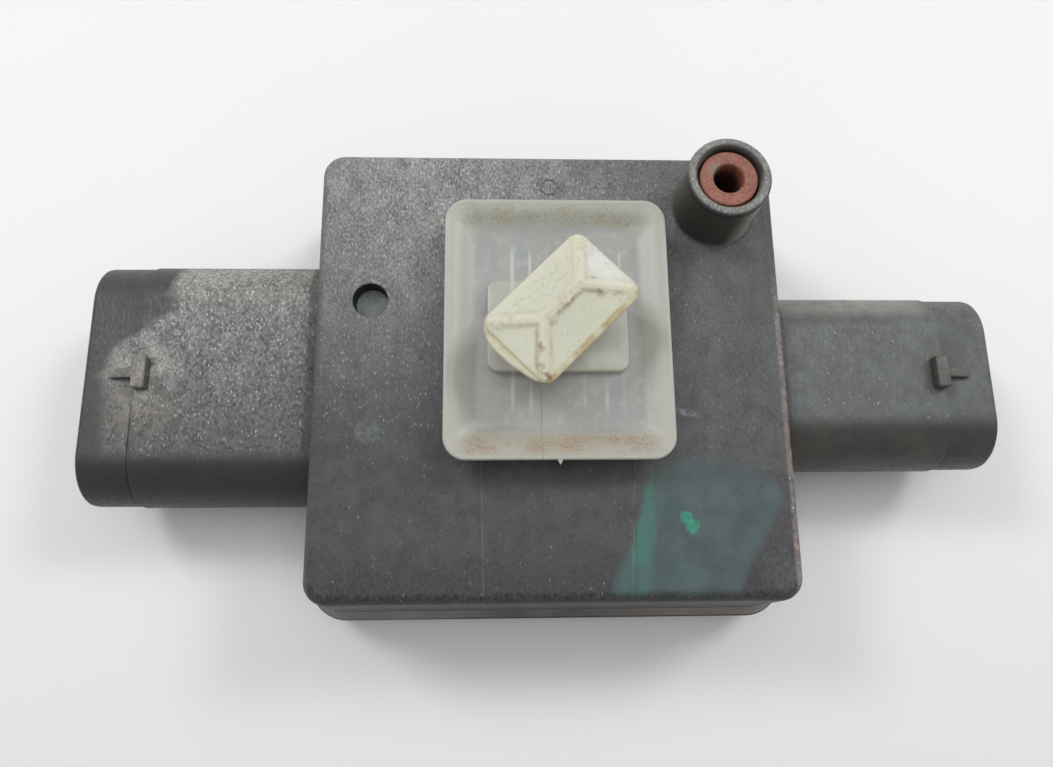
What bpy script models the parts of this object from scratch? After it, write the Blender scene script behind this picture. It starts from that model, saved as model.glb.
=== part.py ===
"""Sealed sensor module with two plug sockets, a port tube and a sliding snap-in clip.

The housing is a case open below, closed by a cover on a seal. It is moulded round a plug socket in each
side wall, whose flange locks behind the wall. The sockets carry the terminal pins, which bend down into the
circuit board. The board hangs on four posts under the ceiling, and a sensing capsule on it looks up through
the port tube. The clip rides on a T-shaped rail on the housing's top face: its dish presses on a panel, and
its turned head holds behind the panel.

Metres, +Z up, +X to the narrower socket, -Y to the open end of the rail. The origin is the middle of the
cover's underside.
"""

import itertools
import math

import bmesh
import bpy
from mathutils import Vector

# Gaps
CLEARANCE = 0.0002
OVERRUN = 0.0010

# Plug sockets
LEFT_SOCKET_WIDTH = 0.0287
RIGHT_SOCKET_WIDTH = 0.0212
SOCKET_HEIGHT = 0.0118
SOCKET_CORNER_RADIUS = 0.0056
LEFT_SOCKET_REACH = 0.0262
RIGHT_SOCKET_REACH = 0.0258
SOCKET_WALL = 0.0015
SOCKET_DEPTH = 0.0180
SOCKET_WEB = 0.0020
SOCKET_DROP = 0.0040
SOCKET_SILL = 0.0012
COLLAR_LENGTH = 0.0056
COLLAR_STEP = 0.00015
MOUTH_ROUNDING = 0.0004
FLANGE_THICKNESS = 0.0015
FLANGE_OVERLAP = 0.0015
FLANGE_RISE = 0.0002

# Lock nubs on the sockets
NUB_SETBACK = 0.0058
NUB_LENGTH = 0.0019
NUB_WIDTH = 0.0037
NUB_HEIGHT = 0.0014
NUB_RAMP_LENGTH = 0.0028
NUB_RAMP_WIDTH = 0.0011
NUB_RAMP_TIP = 0.0003

# Housing
HOUSING_TOP_WIDTH = 0.0520
CORNER_ROOM = 0.0109
HOUSING_CORNER_RADIUS = 0.0025
HOUSING_TOP_FILLET = 0.0012
WALL_FLARE = 0.0010
LIP_PROUD = 0.0010
LIP_HEIGHT = 0.0035
LIP_CHAMFER = 0.0008
SIDE_WALL = 0.0022
TOP_WALL = 0.0028
CAVITY_CORNER_RADIUS = 0.0015
RECESS_RADIUS = 0.00192
RECESS_DEPTH = 0.0020
RECESS_EDGE_DISTANCE = 0.0060
RECESS_Y = 0.0074

# Cover and its seal
COVER_THICKNESS = 0.0022
COVER_INSET = 0.0004
COVER_EDGE = 0.0005
TONGUE_HEIGHT = 0.0016
TONGUE_WALL = 0.0012
SEAL_THICKNESS = 0.0004
SEAL_INSET = 0.0007

# Circuit board, its posts and screws
BOARD_LIFT = 0.0024
BOARD_THICKNESS = 0.0016
BOARD_EDGE_GAP = 0.0004
NOTCH_GAP = 0.0004
POST_RADIUS = 0.0025
POST_ROOM = 0.0005
POST_WALL_ROOM = 0.0015
SCREW_RADIUS = 0.0010
SCREW_GRIP = 0.0050
SCREW_HEAD_RADIUS = 0.0019
SCREW_HEAD_HEIGHT = 0.0012
DRIVE_SLOT_WIDTH = 0.0005
DRIVE_SLOT_DEPTH = 0.0005

# Terminal pins
LEFT_PIN_COUNT = 6
RIGHT_PIN_COUNT = 4
PIN_PITCH = 0.0036
PIN_WIDTH = 0.0015
PIN_THICKNESS = 0.0008
PIN_SETBACK = 0.0064
PIN_TIP_TAPER = 0.0002
PIN_LEG_INSET = 0.0022
PIN_TAIL = 0.0010

# Port tube, its seal, and the sensing capsule below
PORT_RADIUS = 0.0045
PORT_HEIGHT = 0.0080
PORT_BORE_RADIUS = 0.00345
PORT_SHOULDER = 0.0014
PORT_HOLE_RADIUS = 0.0021
PORT_EDGE = 0.0003
PORT_SIDE_ROOM = 0.0009
PORT_BACK_ROOM = 0.0003
RING_GAP = 0.0003
RING_HOLE_RADIUS = 0.0016
RING_RECESS = 0.0005
RING_EDGE = 0.0003
CAPSULE_RADIUS = 0.0042
CAPSULE_FLANGE = 0.0003
CAPSULE_FLANGE_HEIGHT = 0.0010
CAPSULE_FACE_RADIUS = 0.0030
CAPSULE_FACE_DEPTH = 0.0003
GASKET_THICKNESS = 0.0008
GASKET_WALL = 0.0012

# Rail on the housing and the clip that slides on it
CLIP_X = 0.00035
CLIP_Y = 0.0032
RAIL_LENGTH = 0.0216
RAIL_HEAD_WIDTH = 0.0155
RAIL_HEAD_THICKNESS = 0.0010
RAIL_NECK_WIDTH = 0.0090
RAIL_NECK_HEIGHT = 0.0010
STOP_THICKNESS = 0.0012
RUNNING_GAP = 0.0003
HOOK_WALL = 0.0012
FLOOR_MARGIN = 0.00075
FLOOR_THICKNESS = 0.0009
RIM_FLARE = 0.0027
RIM_RISE = 0.0012
RIM_LAND = 0.0006
CLIP_CORNER_RADIUS = 0.0024
BOSS_LENGTH = 0.0148
BOSS_WIDTH = 0.0099
BOSS_HEIGHT = 0.0010
BOSS_CORNER_RADIUS = 0.0011
NECK_RADIUS = 0.0034
HEAD_LIFT = 0.0053
HEAD_LENGTH = 0.0139
HEAD_WIDTH = 0.0092
HEAD_CORNER_RADIUS = 0.0009
HEAD_EDGE = 0.0009
HEAD_ROOF_RISE = 0.0014
HEAD_RIDGE_WIDTH = 0.0006
HEAD_TURN = math.radians(45)

# Parts on the board: centre, then sizes
PROCESSOR_PLACE = (-0.0060, -0.0080)
PROCESSOR_SIDE = 0.0090
PROCESSOR_HEIGHT = 0.0014
DRIVER_PLACE = (0.0080, -0.0100)
DRIVER_WIDTH = 0.0050
DRIVER_LENGTH = 0.0060
DRIVER_HEIGHT = 0.0016
CRYSTAL_PLACE = (-0.0060, -0.0165)
CRYSTAL_WIDTH = 0.0050
CRYSTAL_LENGTH = 0.0032
CRYSTAL_HEIGHT = 0.0012
TRANSFORMER_PLACE = (0.0080, 0.0030)
TRANSFORMER_SIDE = 0.0080
TRANSFORMER_HEIGHT = 0.0070
TRANSFORMER_FLANGE = 0.0012
TRANSFORMER_WAIST = 0.0009
CAPACITOR_PLACE = (-0.0095, 0.0100)
CAPACITOR_RADIUS = 0.0031
CAPACITOR_HEIGHT = 0.0072
CAPACITOR_GROOVE_HEIGHT = 0.0014
CAPACITOR_GROOVE_DEPTH = 0.0003
INDUCTOR_PLACE = (-0.0010, 0.0110)
INDUCTOR_SIDE = 0.0060
INDUCTOR_HEIGHT = 0.0030
DIODE_PLACE = (-0.0130, 0.0010)
DIODE_WIDTH = 0.0026
DIODE_LENGTH = 0.0045
DIODE_HEIGHT = 0.0022
PACKAGE_EDGE = 0.0002

# Mesh fineness
CORNER_STEPS = 6
FILLET_STEPS = 4
ROUND_STEPS = 32

# Levels worked out from the sizes above
SEAL_BOTTOM = COVER_THICKNESS + CLEARANCE
SEAL_TOP = SEAL_BOTTOM + SEAL_THICKNESS
HOUSING_BOTTOM = SEAL_TOP + CLEARANCE
SOCKET_BOTTOM = HOUSING_BOTTOM + SOCKET_SILL
SOCKET_AXIS_Z = SOCKET_BOTTOM + SOCKET_HEIGHT / 2
SOCKET_TOP = SOCKET_BOTTOM + SOCKET_HEIGHT
HOUSING_TOP = SOCKET_TOP + SOCKET_DROP
CEILING = HOUSING_TOP - TOP_WALL
BOARD_BOTTOM = HOUSING_BOTTOM + BOARD_LIFT
BOARD_TOP = BOARD_BOTTOM + BOARD_THICKNESS
PART_SEAT = BOARD_TOP + CLEARANCE

# Plan sizes worked out from the sizes above
HOUSING_TOP_LENGTH = LEFT_SOCKET_WIDTH + 2 * CORNER_ROOM
CAVITY_WIDTH = HOUSING_TOP_WIDTH - 2 * SIDE_WALL
CAVITY_LENGTH = HOUSING_TOP_LENGTH - 2 * SIDE_WALL
LIP_SPREAD = WALL_FLARE + LIP_PROUD
LEFT_MOUTH_X = HOUSING_TOP_WIDTH / 2 + LEFT_SOCKET_REACH
RIGHT_MOUTH_X = HOUSING_TOP_WIDTH / 2 + RIGHT_SOCKET_REACH
FLANGE_OUTER_X = CAVITY_WIDTH / 2 - CLEARANCE
FLANGE_INNER_X = FLANGE_OUTER_X - FLANGE_THICKNESS
PIN_LEG_X = FLANGE_INNER_X - PIN_LEG_INSET
PORT_X = CAVITY_WIDTH / 2 - PORT_SIDE_ROOM - CAPSULE_RADIUS
PORT_Y = CAVITY_LENGTH / 2 - PORT_BACK_ROOM - CAPSULE_RADIUS
POST_X = FLANGE_INNER_X - POST_ROOM - POST_RADIUS
POST_Y = CAVITY_LENGTH / 2 - POST_WALL_ROOM - POST_RADIUS
PORT_SIDE_POST_X = PORT_X - CAPSULE_RADIUS - POST_WALL_ROOM - POST_RADIUS
POST_PLACES = (
    (-POST_X, -POST_Y),
    (POST_X, -POST_Y),
    (-POST_X, POST_Y),
    (PORT_SIDE_POST_X, POST_Y),
)

for leftover in list(bpy.data.objects):
    bpy.data.objects.remove(leftover)

module = bpy.data.objects.new("sensor_module", None)
bpy.context.collection.objects.link(module)


def new_object(name, form):
    """Puts a finished bmesh into the scene, with its faces pointing out."""
    bmesh.ops.recalc_face_normals(form, faces=form.faces)
    mesh = bpy.data.meshes.new(name)
    form.to_mesh(mesh)
    form.free()
    piece = bpy.data.objects.new(name, mesh)
    piece.parent = module
    bpy.context.collection.objects.link(piece)
    return piece


def rounded_outline(width, length, radius):
    """Points of a rounded rectangle about the origin, anticlockwise."""
    points = []
    for quarter in range(4):
        across = (width / 2 - radius) * (1 if quarter in (0, 3) else -1)
        along = (length / 2 - radius) * (1 if quarter in (0, 1) else -1)
        for step in range(CORNER_STEPS + 1):
            angle = (quarter + step / CORNER_STEPS) * math.pi / 2
            points.append((across + radius * math.cos(angle), along + radius * math.sin(angle)))
    return points


def level_ring(z, width, length, radius):
    """A rounded rectangle lying flat at height z."""
    return [Vector((x, y, z)) for x, y in rounded_outline(width, length, radius)]


def upright_ring(x, width, height, radius):
    """A rounded rectangle standing across the X axis, on the sockets' axis."""
    return [Vector((x, y, SOCKET_AXIS_Z + z)) for y, z in rounded_outline(width, height, radius)]


def round_ring(z, radius):
    """A circle lying flat at height z."""
    turns = [step / ROUND_STEPS * math.tau for step in range(ROUND_STEPS)]
    return [Vector((radius * math.cos(turn), radius * math.sin(turn), z)) for turn in turns]


def loft(name, rings, hollow=False):
    """A solid through rings of equal count: capped at its ends or, if hollow, joined from last to first."""
    form = bmesh.new()
    loops = [[form.verts.new(point) for point in ring] for ring in rings]
    pairs = list(zip(loops, loops[1:]))
    if hollow:
        pairs.append((loops[-1], loops[0]))
    else:
        form.faces.new(loops[0])
        form.faces.new(loops[-1])
    count = len(loops[0])
    for lower, upper in pairs:
        for i in range(count):
            j = (i + 1) % count
            form.faces.new((lower[i], lower[j], upper[j], upper[i]))
    return new_object(name, form)


def add_box(form, low, high):
    """Adds a box between two corners to a bmesh."""
    choices = itertools.product(*zip(low, high))
    corners = [form.verts.new(corner) for corner in choices]
    for face in ((0, 1, 3, 2), (4, 6, 7, 5), (0, 4, 5, 1), (2, 3, 7, 6), (0, 2, 6, 4), (1, 5, 7, 3)):
        form.faces.new([corners[i] for i in face])


def boxes(name, corner_pairs):
    """One object of separate boxes, each between two opposite corners."""
    form = bmesh.new()
    for first, second in corner_pairs:
        low = [min(pair) for pair in zip(first, second)]
        high = [max(pair) for pair in zip(first, second)]
        add_box(form, low, high)
    return new_object(name, form)


def extrude_profile(name, profile, place, low, high):
    """A flat outline made solid between two distances: place turns outline point and distance to a point."""
    return loft(name, [[Vector(place(u, v, far)) for u, v in profile] for far in (low, high)])


def turned(name, profile, hollow=False):
    """A round solid from (radius, height) pairs, from its foot up."""
    return loft(name, [round_ring(z, radius) for radius, z in profile], hollow)


def combine(target, helper, operation):
    """Cuts a helper from a piece, or joins it on, and keeps the helper out of the finished part."""
    step = target.modifiers.new(helper.name, "BOOLEAN")
    step.operation = operation
    step.object = helper
    helper.hide_render = True
    helper.display_type = "WIRE"


def cut(target, *helpers):
    for helper in helpers:
        combine(target, helper, "DIFFERENCE")


def join(target, *helpers):
    for helper in helpers:
        combine(target, helper, "UNION")


def finish(piece, colour, roughness, metallic=0.0):
    """Gives a piece its own material and smooth shading over its rounded faces."""
    material = bpy.data.materials.new(piece.name)
    material.use_nodes = True
    shader = material.node_tree.nodes["Principled BSDF"]
    shader.inputs["Base Color"].default_value = (*colour, 1.0)
    shader.inputs["Roughness"].default_value = roughness
    shader.inputs["Metallic"].default_value = metallic
    piece.data.materials.append(material)
    piece.data.shade_smooth()
    piece.data.set_sharp_from_angle(angle=math.radians(35))
    return piece


HOUSING_GREY = (0.060, 0.060, 0.063)
SOCKET_GREY = (0.050, 0.050, 0.053)
COVER_BLACK = (0.030, 0.030, 0.032)
SEAL_BLACK = (0.012, 0.012, 0.013)
RING_RED = (0.300, 0.055, 0.040)
CLIP_WHITE = (0.720, 0.720, 0.620)
BOARD_GREEN = (0.020, 0.110, 0.050)
PACKAGE_BLACK = (0.018, 0.018, 0.020)
TIN = (0.750, 0.740, 0.720)
STEEL = (0.560, 0.570, 0.580)
FERRITE = (0.090, 0.085, 0.085)


def housing_ring(z, spread):
    """The housing's outline at a height, spread outwards from its top outline."""
    return level_ring(
        z,
        HOUSING_TOP_WIDTH + 2 * spread,
        HOUSING_TOP_LENGTH + 2 * spread,
        HOUSING_CORNER_RADIUS + spread,
    )


def make_housing():
    fillet_foot = HOUSING_TOP - HOUSING_TOP_FILLET
    rings = [
        housing_ring(HOUSING_BOTTOM, LIP_SPREAD),
        housing_ring(HOUSING_BOTTOM + LIP_HEIGHT, LIP_SPREAD),
        housing_ring(HOUSING_BOTTOM + LIP_HEIGHT + LIP_CHAMFER, WALL_FLARE),
    ]
    for step in range(FILLET_STEPS + 1):
        angle = step / FILLET_STEPS * math.pi / 2
        inset = HOUSING_TOP_FILLET * (1 - math.cos(angle))
        rings.append(housing_ring(fillet_foot + HOUSING_TOP_FILLET * math.sin(angle), -inset))
    housing = loft("housing", rings)

    cavity_ring = (CAVITY_WIDTH, CAVITY_LENGTH, CAVITY_CORNER_RADIUS)
    cavity = loft(
        "housing_cavity",
        [level_ring(HOUSING_BOTTOM - OVERRUN, *cavity_ring), level_ring(CEILING, *cavity_ring)],
    )
    cut(housing, cavity)

    for number, (x, y) in enumerate(POST_PLACES, 1):
        post = turned(f"post_{number}", [(POST_RADIUS, PART_SEAT), (POST_RADIUS, CEILING + OVERRUN)])
        post.location = (x, y, 0)
        join(housing, post)

    port_rim = HOUSING_TOP + PORT_HEIGHT
    tube = turned(
        "port_tube",
        [
            (PORT_RADIUS, HOUSING_TOP - OVERRUN),
            (PORT_RADIUS, port_rim - PORT_EDGE),
            (PORT_RADIUS - PORT_EDGE, port_rim),
        ],
    )
    bore = turned(
        "port_bore",
        [(PORT_BORE_RADIUS, HOUSING_TOP + PORT_SHOULDER), (PORT_BORE_RADIUS, port_rim + OVERRUN)],
    )
    hole = turned(
        "port_hole",
        [(PORT_HOLE_RADIUS, CEILING - OVERRUN), (PORT_HOLE_RADIUS, HOUSING_TOP + PORT_SHOULDER + OVERRUN)],
    )
    for helper in (tube, bore, hole):
        helper.location = (PORT_X, PORT_Y, 0)
    join(housing, tube)
    join(housing, *make_rail())
    cut(housing, bore, hole)

    for side, width in ((-1, LEFT_SOCKET_WIDTH), (1, RIGHT_SOCKET_WIDTH)):
        opening = (width + 2 * CLEARANCE, SOCKET_HEIGHT + 2 * CLEARANCE, SOCKET_CORNER_RADIUS + CLEARANCE)
        near = side * (CAVITY_WIDTH / 2 - OVERRUN)
        far = side * (HOUSING_TOP_WIDTH / 2 + LIP_SPREAD + OVERRUN)
        cutter = loft(f"socket_opening_{side}", [upright_ring(near, *opening), upright_ring(far, *opening)])
        cut(housing, cutter)

    recess = turned(
        "round_recess",
        [(RECESS_RADIUS, HOUSING_TOP - RECESS_DEPTH), (RECESS_RADIUS, HOUSING_TOP + OVERRUN)],
    )
    recess.location = (RECESS_EDGE_DISTANCE - HOUSING_TOP_WIDTH / 2, RECESS_Y, 0)
    cut(housing, recess)

    pilot_radius = SCREW_RADIUS + CLEARANCE
    pilot_top = BOARD_BOTTOM + SCREW_GRIP + BOARD_THICKNESS + CLEARANCE
    for number, (x, y) in enumerate(POST_PLACES, 1):
        pilot = turned(f"pilot_{number}", [(pilot_radius, BOARD_BOTTOM), (pilot_radius, pilot_top)])
        pilot.location = (x, y, 0)
        cut(housing, pilot)
    finish(housing, HOUSING_GREY, 0.55)


def make_rail():
    """T-shaped rail that the clip slides onto from -Y, and the stop behind it."""
    neck = RAIL_NECK_WIDTH / 2
    head = RAIL_HEAD_WIDTH / 2
    shelf = HOUSING_TOP + RAIL_NECK_HEIGHT
    profile = [
        (-neck, HOUSING_TOP - OVERRUN),
        (neck, HOUSING_TOP - OVERRUN),
        (neck, shelf),
        (head, shelf),
        (head, shelf + RAIL_HEAD_THICKNESS),
        (-head, shelf + RAIL_HEAD_THICKNESS),
        (-head, shelf),
        (-neck, shelf),
    ]
    start = CLIP_Y - RAIL_LENGTH / 2
    end = CLIP_Y + RAIL_LENGTH / 2 + RUNNING_GAP + STOP_THICKNESS
    rail = extrude_profile("rail", profile, lambda u, v, far: (CLIP_X + u, far, v), start, end)
    stop = boxes(
        "rail_stop",
        [
            (
                (CLIP_X - head, end - STOP_THICKNESS, HOUSING_TOP - OVERRUN),
                (CLIP_X + head, end, shelf + RAIL_HEAD_THICKNESS / 2),
            )
        ],
    )
    return rail, stop


def make_socket(name, side, width, mouth_x, pin_ys):
    """A plug socket: collar, shell, flange behind the wall, cavity, web with pin slots, and lock nub."""
    web_front_x = mouth_x - SOCKET_DEPTH
    web_back_x = web_front_x - SOCKET_WEB

    def ring(x, grow, overlap=0.0, rise=0.0):
        ring_width = width + 2 * (grow + overlap)
        ring_height = SOCKET_HEIGHT + 2 * (grow + rise)
        return upright_ring(side * x, ring_width, ring_height, SOCKET_CORNER_RADIUS + grow)

    socket = loft(
        name,
        [
            ring(mouth_x, -COLLAR_STEP - MOUTH_ROUNDING),
            ring(mouth_x - MOUTH_ROUNDING, -COLLAR_STEP),
            ring(mouth_x - COLLAR_LENGTH, -COLLAR_STEP),
            ring(mouth_x - COLLAR_LENGTH - COLLAR_STEP, 0.0),
            ring(FLANGE_OUTER_X, 0.0),
            ring(FLANGE_OUTER_X, 0.0, FLANGE_OVERLAP, FLANGE_RISE),
            ring(FLANGE_INNER_X, 0.0, FLANGE_OVERLAP, FLANGE_RISE),
        ],
    )
    nub_top = SOCKET_TOP + NUB_HEIGHT
    nub_foot = SOCKET_TOP - SOCKET_WALL / 2
    nub_front = mouth_x - NUB_SETBACK
    catch = boxes(
        name + "_catch",
        [
            (
                (side * nub_front, -NUB_WIDTH / 2, nub_foot),
                (side * (nub_front - NUB_LENGTH), NUB_WIDTH / 2, nub_top),
            )
        ],
    )
    ramp_profile = [
        (nub_front - NUB_LENGTH / 2, nub_foot),
        (nub_front + NUB_RAMP_LENGTH, nub_foot),
        (nub_front + NUB_RAMP_LENGTH, SOCKET_TOP + NUB_RAMP_TIP),
        (nub_front - NUB_LENGTH / 2, nub_top - NUB_RAMP_TIP),
    ]
    ramp = extrude_profile(
        name + "_ramp",
        ramp_profile,
        lambda u, v, far: (side * u, far, v),
        -NUB_RAMP_WIDTH / 2,
        NUB_RAMP_WIDTH / 2,
    )
    join(socket, catch, ramp)

    mating = loft(name + "_mating", [ring(mouth_x + OVERRUN, -SOCKET_WALL), ring(web_front_x, -SOCKET_WALL)])
    pocket = loft(
        name + "_pocket",
        [ring(web_back_x, -SOCKET_WALL), ring(FLANGE_INNER_X - OVERRUN, -SOCKET_WALL)],
    )
    reach_y = PIN_WIDTH / 2 + CLEARANCE
    reach_z = PIN_THICKNESS / 2 + CLEARANCE
    slots = boxes(
        name + "_pin_slots",
        [
            (
                (side * (web_front_x + OVERRUN), y - reach_y, SOCKET_AXIS_Z - reach_z),
                (side * (web_back_x - OVERRUN), y + reach_y, SOCKET_AXIS_Z + reach_z),
            )
            for y in pin_ys
        ],
    )
    cut(socket, mating, pocket, slots)
    finish(socket, SOCKET_GREY, 0.5)


def make_pin(name, side, mouth_x, y):
    """A blade pin that runs from the socket through its web and bends down through the board."""
    tip = mouth_x - PIN_SETBACK
    half = PIN_THICKNESS / 2
    taper_end = tip - PIN_THICKNESS
    tail = BOARD_BOTTOM - PIN_TAIL
    profile = [
        (tip, SOCKET_AXIS_Z - half + PIN_TIP_TAPER),
        (tip, SOCKET_AXIS_Z + half - PIN_TIP_TAPER),
        (taper_end, SOCKET_AXIS_Z + half),
        (PIN_LEG_X, SOCKET_AXIS_Z + half),
        (PIN_LEG_X - half, SOCKET_AXIS_Z),
        (PIN_LEG_X - half, tail),
        (PIN_LEG_X + half, tail),
        (PIN_LEG_X + half, SOCKET_AXIS_Z - half),
        (taper_end, SOCKET_AXIS_Z - half),
    ]
    pin = extrude_profile(
        name,
        profile,
        lambda u, v, far: (side * u, far, v),
        y - PIN_WIDTH / 2,
        y + PIN_WIDTH / 2,
    )
    finish(pin, TIN, 0.3, 1.0)


def make_cover():
    spread = LIP_SPREAD - COVER_INSET
    tongue = (CAVITY_WIDTH - 2 * CLEARANCE, CAVITY_LENGTH - 2 * CLEARANCE, CAVITY_CORNER_RADIUS)
    inner = (tongue[0] - 2 * TONGUE_WALL, tongue[1] - 2 * TONGUE_WALL, CAVITY_CORNER_RADIUS)
    tongue_top = COVER_THICKNESS + TONGUE_HEIGHT
    cover = loft(
        "bottom_cover",
        [
            housing_ring(0.0, spread - COVER_EDGE),
            housing_ring(COVER_EDGE, spread),
            housing_ring(COVER_THICKNESS, spread),
            level_ring(COVER_THICKNESS, *tongue),
            level_ring(tongue_top, *tongue),
            level_ring(tongue_top, *inner),
            level_ring(COVER_THICKNESS, *inner),
        ],
    )
    finish(cover, COVER_BLACK, 0.6)

    outer = LIP_SPREAD - SEAL_INSET
    hole = (CAVITY_WIDTH, CAVITY_LENGTH, CAVITY_CORNER_RADIUS)
    seal = loft(
        "cover_seal",
        [
            housing_ring(SEAL_BOTTOM, outer),
            housing_ring(SEAL_TOP, outer),
            level_ring(SEAL_TOP, *hole),
            level_ring(SEAL_BOTTOM, *hole),
        ],
        hollow=True,
    )
    finish(seal, SEAL_BLACK, 0.7)


def make_board(pin_places):
    half_x = CAVITY_WIDTH / 2 - BOARD_EDGE_GAP
    half_y = CAVITY_LENGTH / 2 - BOARD_EDGE_GAP
    outline = (2 * half_x, 2 * half_y, CAVITY_CORNER_RADIUS)
    board = loft("circuit_board", [level_ring(z, *outline) for z in (BOARD_BOTTOM, BOARD_TOP)])
    low = BOARD_BOTTOM - OVERRUN
    high = BOARD_TOP + OVERRUN
    notches = []
    for side, width in ((-1, LEFT_SOCKET_WIDTH), (1, RIGHT_SOCKET_WIDTH)):
        reach = width / 2 + FLANGE_OVERLAP + NOTCH_GAP
        inner = side * (FLANGE_INNER_X - NOTCH_GAP)
        notches.append(((inner, -reach, low), (side * (half_x + OVERRUN), reach, high)))
    reach_x = PIN_THICKNESS / 2 + CLEARANCE
    reach_y = PIN_WIDTH / 2 + CLEARANCE
    pin_holes = [((x - reach_x, y - reach_y, low), (x + reach_x, y + reach_y, high)) for x, y in pin_places]
    cut(board, boxes("board_notches", notches), boxes("board_pin_holes", pin_holes))
    hole_radius = SCREW_RADIUS + CLEARANCE
    for number, (x, y) in enumerate(POST_PLACES, 1):
        hole = turned(f"board_hole_{number}", [(hole_radius, low), (hole_radius, high)])
        hole.location = (x, y, 0)
        cut(board, hole)
    finish(board, BOARD_GREEN, 0.45)

    head_top = BOARD_BOTTOM - CLEARANCE
    head_bottom = head_top - SCREW_HEAD_HEIGHT
    for number, (x, y) in enumerate(POST_PLACES, 1):
        screw = turned(
            f"board_screw_{number}",
            [
                (SCREW_HEAD_RADIUS, head_bottom),
                (SCREW_HEAD_RADIUS, head_top),
                (SCREW_RADIUS, head_top),
                (SCREW_RADIUS, BOARD_TOP + SCREW_GRIP),
            ],
        )
        drive = boxes(
            f"drive_slot_{number}",
            [
                (
                    (-DRIVE_SLOT_WIDTH / 2, -SCREW_HEAD_RADIUS - OVERRUN, head_bottom - OVERRUN),
                    (DRIVE_SLOT_WIDTH / 2, SCREW_HEAD_RADIUS + OVERRUN, head_bottom + DRIVE_SLOT_DEPTH),
                )
            ],
        )
        screw.location = (x, y, 0)
        drive.location = (x, y, 0)
        cut(screw, drive)
        finish(screw, STEEL, 0.35, 1.0)


def make_port_parts():
    rim = HOUSING_TOP + PORT_HEIGHT
    foot = HOUSING_TOP + PORT_SHOULDER + CLEARANCE
    top = rim - RING_RECESS
    outer = PORT_BORE_RADIUS - RING_GAP
    ring = turned(
        "port_seal",
        [
            (outer, foot),
            (outer, top - RING_EDGE),
            (outer - RING_EDGE, top),
            (RING_HOLE_RADIUS + RING_EDGE, top),
            (RING_HOLE_RADIUS, top - RING_EDGE),
            (RING_HOLE_RADIUS, foot),
        ],
        hollow=True,
    )
    finish(ring, RING_RED, 0.6)

    gasket_top = CEILING - CLEARANCE
    gasket_bottom = gasket_top - GASKET_THICKNESS
    gasket_radius = CAPSULE_RADIUS - CAPSULE_FLANGE
    gasket = turned(
        "capsule_gasket",
        [
            (gasket_radius, gasket_bottom),
            (gasket_radius, gasket_top),
            (gasket_radius - GASKET_WALL, gasket_top),
            (gasket_radius - GASKET_WALL, gasket_bottom),
        ],
        hollow=True,
    )
    finish(gasket, SEAL_BLACK, 0.8)

    capsule_top = gasket_bottom - CLEARANCE
    can = CAPSULE_RADIUS - CAPSULE_FLANGE
    capsule = turned(
        "sensing_capsule",
        [
            (CAPSULE_RADIUS, PART_SEAT),
            (CAPSULE_RADIUS, PART_SEAT + CAPSULE_FLANGE_HEIGHT),
            (can, PART_SEAT + CAPSULE_FLANGE_HEIGHT),
            (can, capsule_top),
            (CAPSULE_FACE_RADIUS, capsule_top),
            (CAPSULE_FACE_RADIUS - CAPSULE_FACE_DEPTH, capsule_top - CAPSULE_FACE_DEPTH),
        ],
    )
    finish(capsule, STEEL, 0.35, 1.0)
    for piece in (ring, gasket, capsule):
        piece.location = (PORT_X, PORT_Y, 0)


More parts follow.
